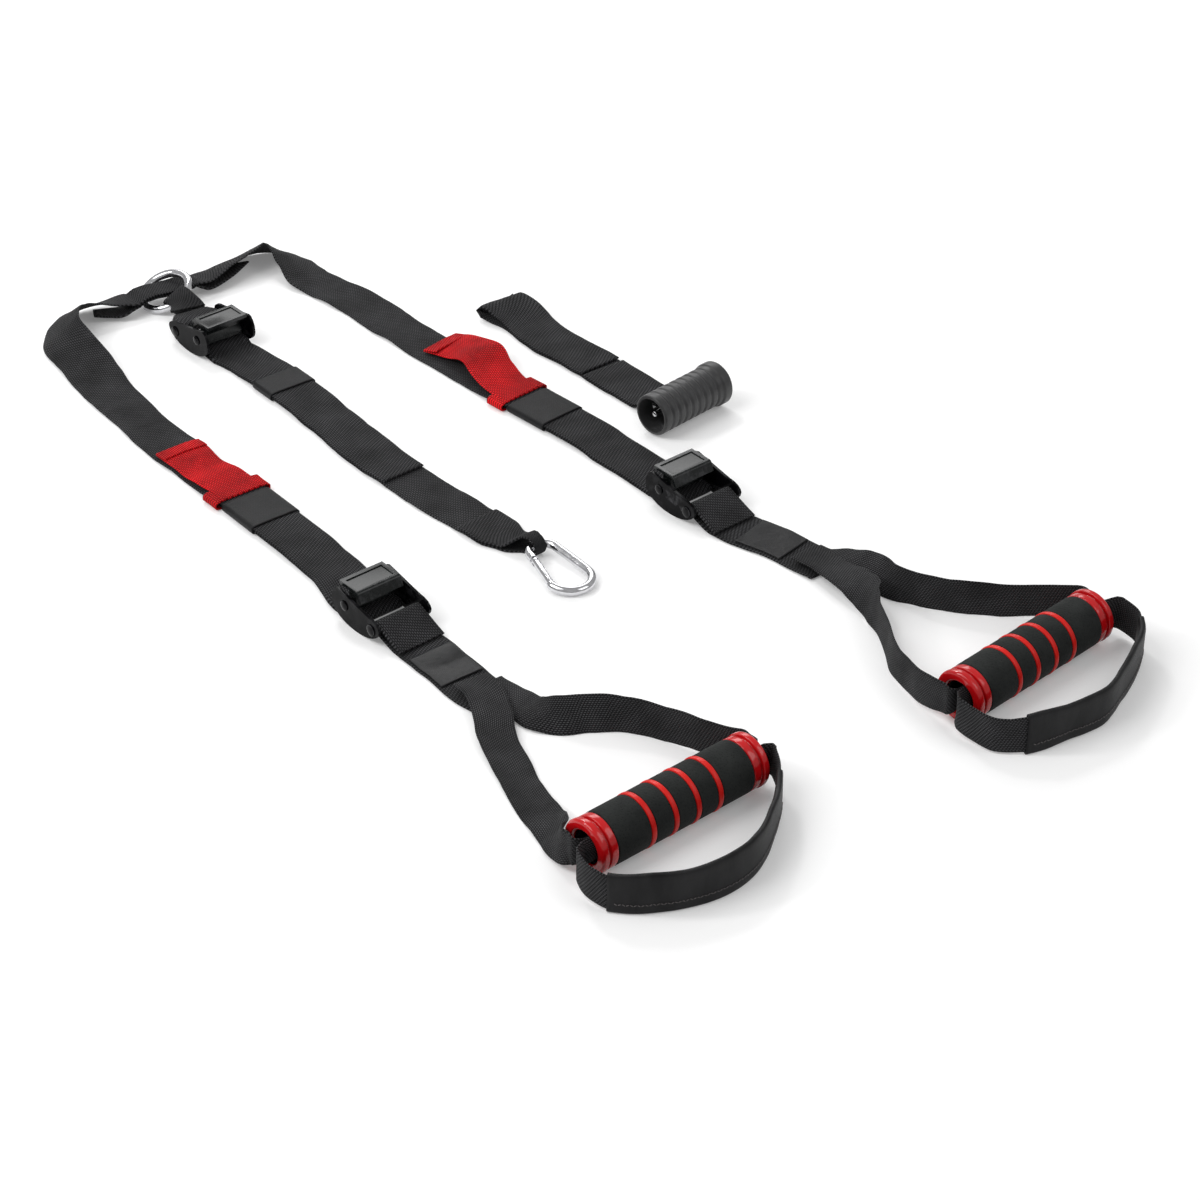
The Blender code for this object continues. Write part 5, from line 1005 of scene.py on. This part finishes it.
for side, ear_rows, tongue_rows, hem_rows in (
    ("left", PULL_TAB_LEFT, PULL_TAB_LEFT_TONGUE, PULL_TAB_LEFT_HEM),
    ("right", PULL_TAB_RIGHT, PULL_TAB_RIGHT_TONGUE, PULL_TAB_RIGHT_HEM),
):
    ears, tongue, hem = (laid(rows, 2.0) for rows in (ear_rows, tongue_rows, hem_rows))
    piece = tube(f"tab_ears_{side}", ears, BAND_HEIGHT, BAND_WALL, RED_YARN)
    carried(piece, "harness", f"pull_tab_{side}", slot="red_webbing")
    for part, path in (("tongue", tongue), ("hem", hem)):
        piece = strap(f"tab_{part}_{side}", path, TAB_WEBBING, RED_YARN)
        carried(piece, "harness", slot="red_webbing")
    lines = [((-15, v), (15, v)) for v in (2.0, length_of(hem) - 2)]
    seam(f"tab_hem_seam_{side}", hem, lines, TAB_WEBBING / 2, RED_THREAD, "harness", *HEM_STITCH)
    seam(f"tab_seam_{side}", ears, box_seam(14, 2, 14, True), 3.35, RED_THREAD, "harness", *TAB_STITCH)


# Buckles

# Each pin: node, radius, and how far it is towards the lever and up from the buckle's middle
BUCKLE_PINS = (("pivot_pin", 2.0, 11.5, 14.6), ("webbing_bar", 2.5, -17.5, 10.0))
PLATE_OUTSIDE = 22.15
HEAD_OUTSIDE = 23.35
HEAD_OVERHANG = 1.6


def pin_profile(radius):
    """A pin through both side plates, with a domed head outside each."""
    head = radius + HEAD_OVERHANG
    dome = [(HEAD_OUTSIDE - drop, head * share) for drop, share in ((0, 0), (0.12, 0.45), (0.5, 0.82))]
    dome += [(PLATE_OUTSIDE + 0.35, head), (PLATE_OUTSIDE, head)]
    return [(-x, r) for x, r in dome] + [(-PLATE_OUTSIDE, radius), (PLATE_OUTSIDE, radius)] + dome[::-1]


for side, (spot, turn) in BUCKLES.items():
    dressed(f"buckle_frame_{side}", FRAME_COAT, 0.4)
    dressed(f"cam_lever_{side}", LEVER_COAT, 0.35)
    for node, radius, y, z in BUCKLE_PINS:
        name = f"{node}_{side}"
        place = placed(spot, turn) @ placed((0, y, z))
        piece = shown(name + "_piece", turned(pin_profile(radius), 32), PIN_COAT, place)
        piece.data.set_sharp_from_angle(angle=math.radians(PIN_SHARP_ANGLE))
        carried(piece, frame["nodes"][name]["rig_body"], name, slot="dark_steel")


# Ring and snap hook

RING_RADIUS = 19.05
RING_WIRE = 3.2
RING_POINTS = 96
WELD_PLACE = 0.62
HOOK_WIRE = 3.25
EYE_RADIUS = 10.35
BELLY_RADIUS = 15.25
BELLY_Y = -43.25
GATE_TOP = Vector((-EYE_RADIUS, -EYE_RADIUS, 0))
GATE_FOOT = Vector((-20.15, BELLY_Y, 0))
# How far the wire's two ends reach along the gate, as shares of it
WIRE_START = 0.084
WIRE_END = 0.06
# The block that the gate turns on: how far along the gate it sits, how far to its side, and its size
TONGUE_SHARE = 0.10
TONGUE_SHIFT = 3.08
TONGUE_SIDE = 1.3
TONGUE_SIZE = (4, 6.6, 2.2)


def weld(share):
    """How thick the ring's wire is: a bead with a slight neck round it."""
    bead, neck = (math.exp(-(((share - WELD_PLACE) / wide) ** 2)) for wide in (0.012, 0.03))
    return 1 + 0.10 * bead - 0.03 * neck


ring_points = [RING_RADIUS * Vector((math.cos(a), math.sin(a), 0)) for a in circle(RING_POINTS)]
ring = shown("welded_ring", wire(ring_points, RING_WIRE, True, weld), ZINC, placed(*RING_PLACE))
carried(ring, "ring", "strap_ring", slot="polished_steel")

neck = arc((0, -EYE_RADIUS), EYE_RADIUS, 180, 0, 22)
spine = [neck[-1].lerp(Vector((EYE_RADIUS, BELLY_Y, 0)), t) for t in (0.2, 0.4, 0.6, 0.8)]
belly = arc((EYE_RADIUS - BELLY_RADIUS, BELLY_Y), BELLY_RADIUS, 0, -180, 30)
ends = GATE_TOP.lerp(GATE_FOOT, WIRE_START), GATE_FOOT.lerp(GATE_TOP, WIRE_END)
hook_points = [ends[0], *neck, *spine, *belly, ends[1]]
hook_matrix = placed(*HOOK_PLACE)
hook = with_round_edges(shown("snap_hook_body", wire(hook_points, HOOK_WIRE), ZINC, hook_matrix), 0.5, 60)
carried(hook, "hook", "snap_hook", slot="polished_steel")
dressed("hook_gate", ZINC, 0.3)
gate_line = (GATE_FOOT - GATE_TOP).normalized()
lean = Matrix.Rotation(math.atan2(gate_line.x, -gate_line.y), 4, "Z")
spot = GATE_TOP.lerp(GATE_FOOT, TONGUE_SHARE) + gate_line * TONGUE_SHIFT
seat = Matrix.Translation(spot * MM) @ lean @ placed((0, TONGUE_SIDE, 0))
size = Matrix.Diagonal((*TONGUE_SIZE, 1))
tongue = shown("snap_hook_tongue", cube(MM), ZINC, hook_matrix @ seat @ size)
carried(with_round_edges(tongue, 0.3), "hook", slot="polished_steel")


# Grips

GROOVES = (-27, -9, 9, 27)
GROOVE_HALF = 2.2
FOAM_HALF = 54.6
FOAM_RADIUS = 18.0
FOAM_BORE = 13.4
GROOVE_RADIUS = 16.4
# Half of a band: how far along from its middle, and the radius there
BAND = ((1.8, 16.8), (1.8, 18.1), (0.9, 18.4))


def foam_profile():
    profile = [(-FOAM_HALF, FOAM_BORE), (-FOAM_HALF, FOAM_RADIUS)]
    for middle in GROOVES:
        near, far = middle - GROOVE_HALF, middle + GROOVE_HALF
        profile += [(near, FOAM_RADIUS), (near, GROOVE_RADIUS), (far, GROOVE_RADIUS), (far, FOAM_RADIUS)]
    return rounded(profile + [(FOAM_HALF, FOAM_RADIUS), (FOAM_HALF, FOAM_BORE)], 0.9)


def band_profile(middle):
    profile = [(middle - x, r) for x, r in BAND] + [(middle + x, r) for x, r in BAND[::-1]]
    return rounded(profile, 0.4)


def cap_profile(sign):
    """End cap: rolled lip, groove, thinner rim against the foam, and a socket for the core."""
    profile = [
        (67.5, 12.7), (67.5, 16.7), (66.9, 17.9), (65.8, 18.4), (62.6, 18.4), (62.4, 15.8), (60.3, 15.8),
        (60.2, 17.9), (55.0, 17.9), (55.0, 13.4), (64.5, 13.4), (64.5, 11.0), (65.8, 11.0),
    ]
    return rounded([(sign * x, r) for x, r in profile], 0.8)


for side, grip_place in GRIPS.items():
    place = placed(*grip_place)
    body = f"grip_{side}"
    foam = shown(f"foam_sleeve_{side}", turned(foam_profile()), FOAM, place)
    carried(foam, body, f"foam_grip_{side}", slot="foam")
    for number, middle in enumerate(GROOVES, 1):
        piece = shown(f"band_{side}_{number}", turned(band_profile(middle)), RED_BAND, place)
        carried(piece, body, f"grip_band_{side}_{number}", slot="red_plastic")
    for end, sign in (("near", -1), ("far", 1)):
        piece = shown(f"cap_{side}_{end}", turned(cap_profile(sign)), RED_PLASTIC, place)
        carried(piece, body, f"end_cap_{side}_{end}", slot="red_plastic")
    finished(f"grip_core_{side}", CORE_PLASTIC)


# Door anchor

RIBS = 8
RIB_PITCH = 6.75
RIB_START = -28.5
VALLEY = 14.6
CREST = 15.5
# The slot that the strap goes through: its middle and its size
SLOT_MIDDLE = (0, 12.6, 0)
SLOT_SIZE = (40.2, 9.8, 13)


def rib_profile():
    profile = [(-34.5, VALLEY), (-33.6, CREST), (RIB_START, CREST)]
    for k in range(RIBS):
        x = RIB_START + RIB_PITCH * k
        profile += [(x + 0.8, VALLEY), (x + 2.0, VALLEY), (x + 3.0, CREST), (x + 6.4, CREST)]
    profile += [(26.7, 16.7), (33.3, 16.7), (34.5, CREST), (34.5, 12.9), (-34.5, 12.9)]
    return rounded(profile, 0.5, 2)


door_matrix = placed(*DOOR_PLACE)
door = shown("door_stop_tube", turned(rib_profile()), BLACK_RUBBER, door_matrix)
slot_size = Matrix.Diagonal((*(size * MM for size in SLOT_SIZE), 1))
slot_cutter = shown("door_slot_cutter", cube(1), BLACK_RUBBER, door_matrix @ placed(SLOT_MIDDLE) @ slot_size)
cut = door.modifiers.new("slot", "BOOLEAN")
cut.solver = "EXACT"
cut.object = slot_cutter
settled(door)
bpy.data.objects.remove(slot_cutter)
door.data.set_sharp_from_angle(angle=math.radians(PIN_SHARP_ANGLE))
carried(door, "door_stop", "door_tube", slot="black_plastic")
door_path = laid(DOOR_WEBBING)
webbing_piece("door_strap", door_path, "door_webbing", "door_stop")
door_pin = turned(rounded([(-31.5, 0), (-31.5, 2), (31.5, 2), (31.5, 0)], 0.4), 32)
piece = shown("door_stop_pin", door_pin, ZINC, door_matrix)
carried(piece, "door_stop", "door_pin", slot="polished_steel")

for node in ("cam_spring_left", "cam_spring_right", "cam_spring_anchor", "gate_pin"):
    finished(node, SPRING_STEEL)


# Seams in the webbing

WEBBING_TOP = WEBBING / 2
seam("eye_seam", laid(ANCHOR_WEBBING), box_seam(14, 4, 17, True), WEBBING_TOP, BLACK_THREAD, "harness")
lines = box_seam(15, length_of(door_path) - 14, length_of(door_path) - 2)
seam("door_seam", door_path, lines, WEBBING_TOP, BLACK_THREAD, "door_stop")
for side, rows in (("left", FIXED_WEBBING_LEFT), ("right", FIXED_WEBBING_RIGHT)):
    path = laid(rows, 1.5)
    lines = box_seam(15, length_of(path) - 30, length_of(path) - 4, True)
    seam(f"fixed_seam_{side}", path, lines, WEBBING_TOP, BLACK_THREAD, "harness")


# Floor, light and camera

FLOOR_GLOW = 0.16
FAR_GLOW = 0.84
# Where the far floor's glow starts and is whole, as shares of 4 m from the middle
FAR_START = 0.3
FAR_WHOLE = 0.55

floor_finish = Finish("pale_floor", (0.86, 0.86, 0.86), 0.9)
rays = floor_finish.add("ShaderNodeLightPath").node.outputs
seen = floor_finish.math("MAXIMUM", rays["Is Camera Ray"], rays["Is Glossy Ray"])
seen = floor_finish.math("MAXIMUM", seen, rays["Is Transmission Ray"])
distance = floor_finish.add("ShaderNodeVectorMath", {0: floor_finish.place()}, "Value", operation="LENGTH")
distance = floor_finish.math("MULTIPLY", distance, 0.25)
far = floor_finish.ramp(distance, (FAR_START, 0), (FAR_WHOLE, FAR_GLOW))
far = floor_finish.math("MULTIPLY", far, rays["Is Camera Ray"])
strength = floor_finish.math("ADD", floor_finish.math("MULTIPLY", seen, FLOOR_GLOW), far)
glow = floor_finish.add("ShaderNodeEmission", {"Color": (1, 1, 1), "Strength": strength})
both = floor_finish.add("ShaderNodeAddShader", {0: floor_finish.shader.outputs[0], 1: glow})
floor_finish.feed(floor_finish.nodes["Material Output"].inputs["Surface"], both)
floor_shape = bmesh.new()
bmesh.ops.create_grid(floor_shape, x_segments=1, y_segments=1, size=8)
under_part = Matrix.Translation((0, 0, -0.0002))
floor = shown("studio_floor", floor_shape, floor_finish.material, under_part, smooth=False)

world = bpy.data.worlds.new("studio")
bpy.context.scene.world = world
world.use_nodes = True
tree = world.node_tree
background = tree.nodes["Background"]
background.inputs["Color"].default_value = (1, 1, 1, 1)
rays = tree.nodes.new("ShaderNodeLightPath")
seen = tree.nodes.new("ShaderNodeMath")
seen.operation = "MAXIMUM"
tree.links.new(rays.outputs["Is Camera Ray"], seen.inputs[0])
tree.links.new(rays.outputs["Is Transmission Ray"], seen.inputs[1])
strength = tree.nodes.new("ShaderNodeMapRange")
strength.inputs["To Min"].default_value = 0.45
strength.inputs["To Max"].default_value = 1.0
tree.links.new(seen.outputs[0], strength.inputs[0])
tree.links.new(strength.outputs[0], background.inputs["Strength"])

# Each lamp points at the middle: place and size in metres, and power in watts
for name, spot, size, power in (
    ("key", (-1.3, 0.4, 1.9), (1.4, 1.4), 22),
    ("back", (1.1, 1.7, 1.3), (1.6, 0.9), 15),
    ("fill", (0.9, -1.5, 1.6), (1.2, 1.2), 8),
    ("spark_left", (-1.5, 0.9, 1.3), (0.3, 0.3), 9),
    ("spark_right", (0.5, 1.6, 1.8), (0.3, 0.3), 9),
):
    light = bpy.data.lights.new(name, "AREA")
    light.shape = "RECTANGLE"
    light.size, light.size_y = size
    light.energy = power
    lamp = bpy.data.objects.new(name, light)
    lamp.location = spot
    lamp.rotation_euler = (-Vector(spot)).to_track_quat("-Z", "Y").to_euler()
    bpy.context.scene.collection.objects.link(lamp)

camera = bpy.data.cameras.new("camera")
camera.lens = 96
camera.sensor_width = 36
camera.clip_end = 30
eye = bpy.data.objects.new("camera", camera)
eye.location = (-1.15229, -1.48065, 1.195)
eye.rotation_euler = Vector((0.53290, 0.63508, -0.55919)).to_track_quat("-Z", "Y").to_euler()
bpy.context.scene.collection.objects.link(eye)
bpy.context.scene.camera = eye
bpy.context.scene.view_settings.view_transform = "Standard"
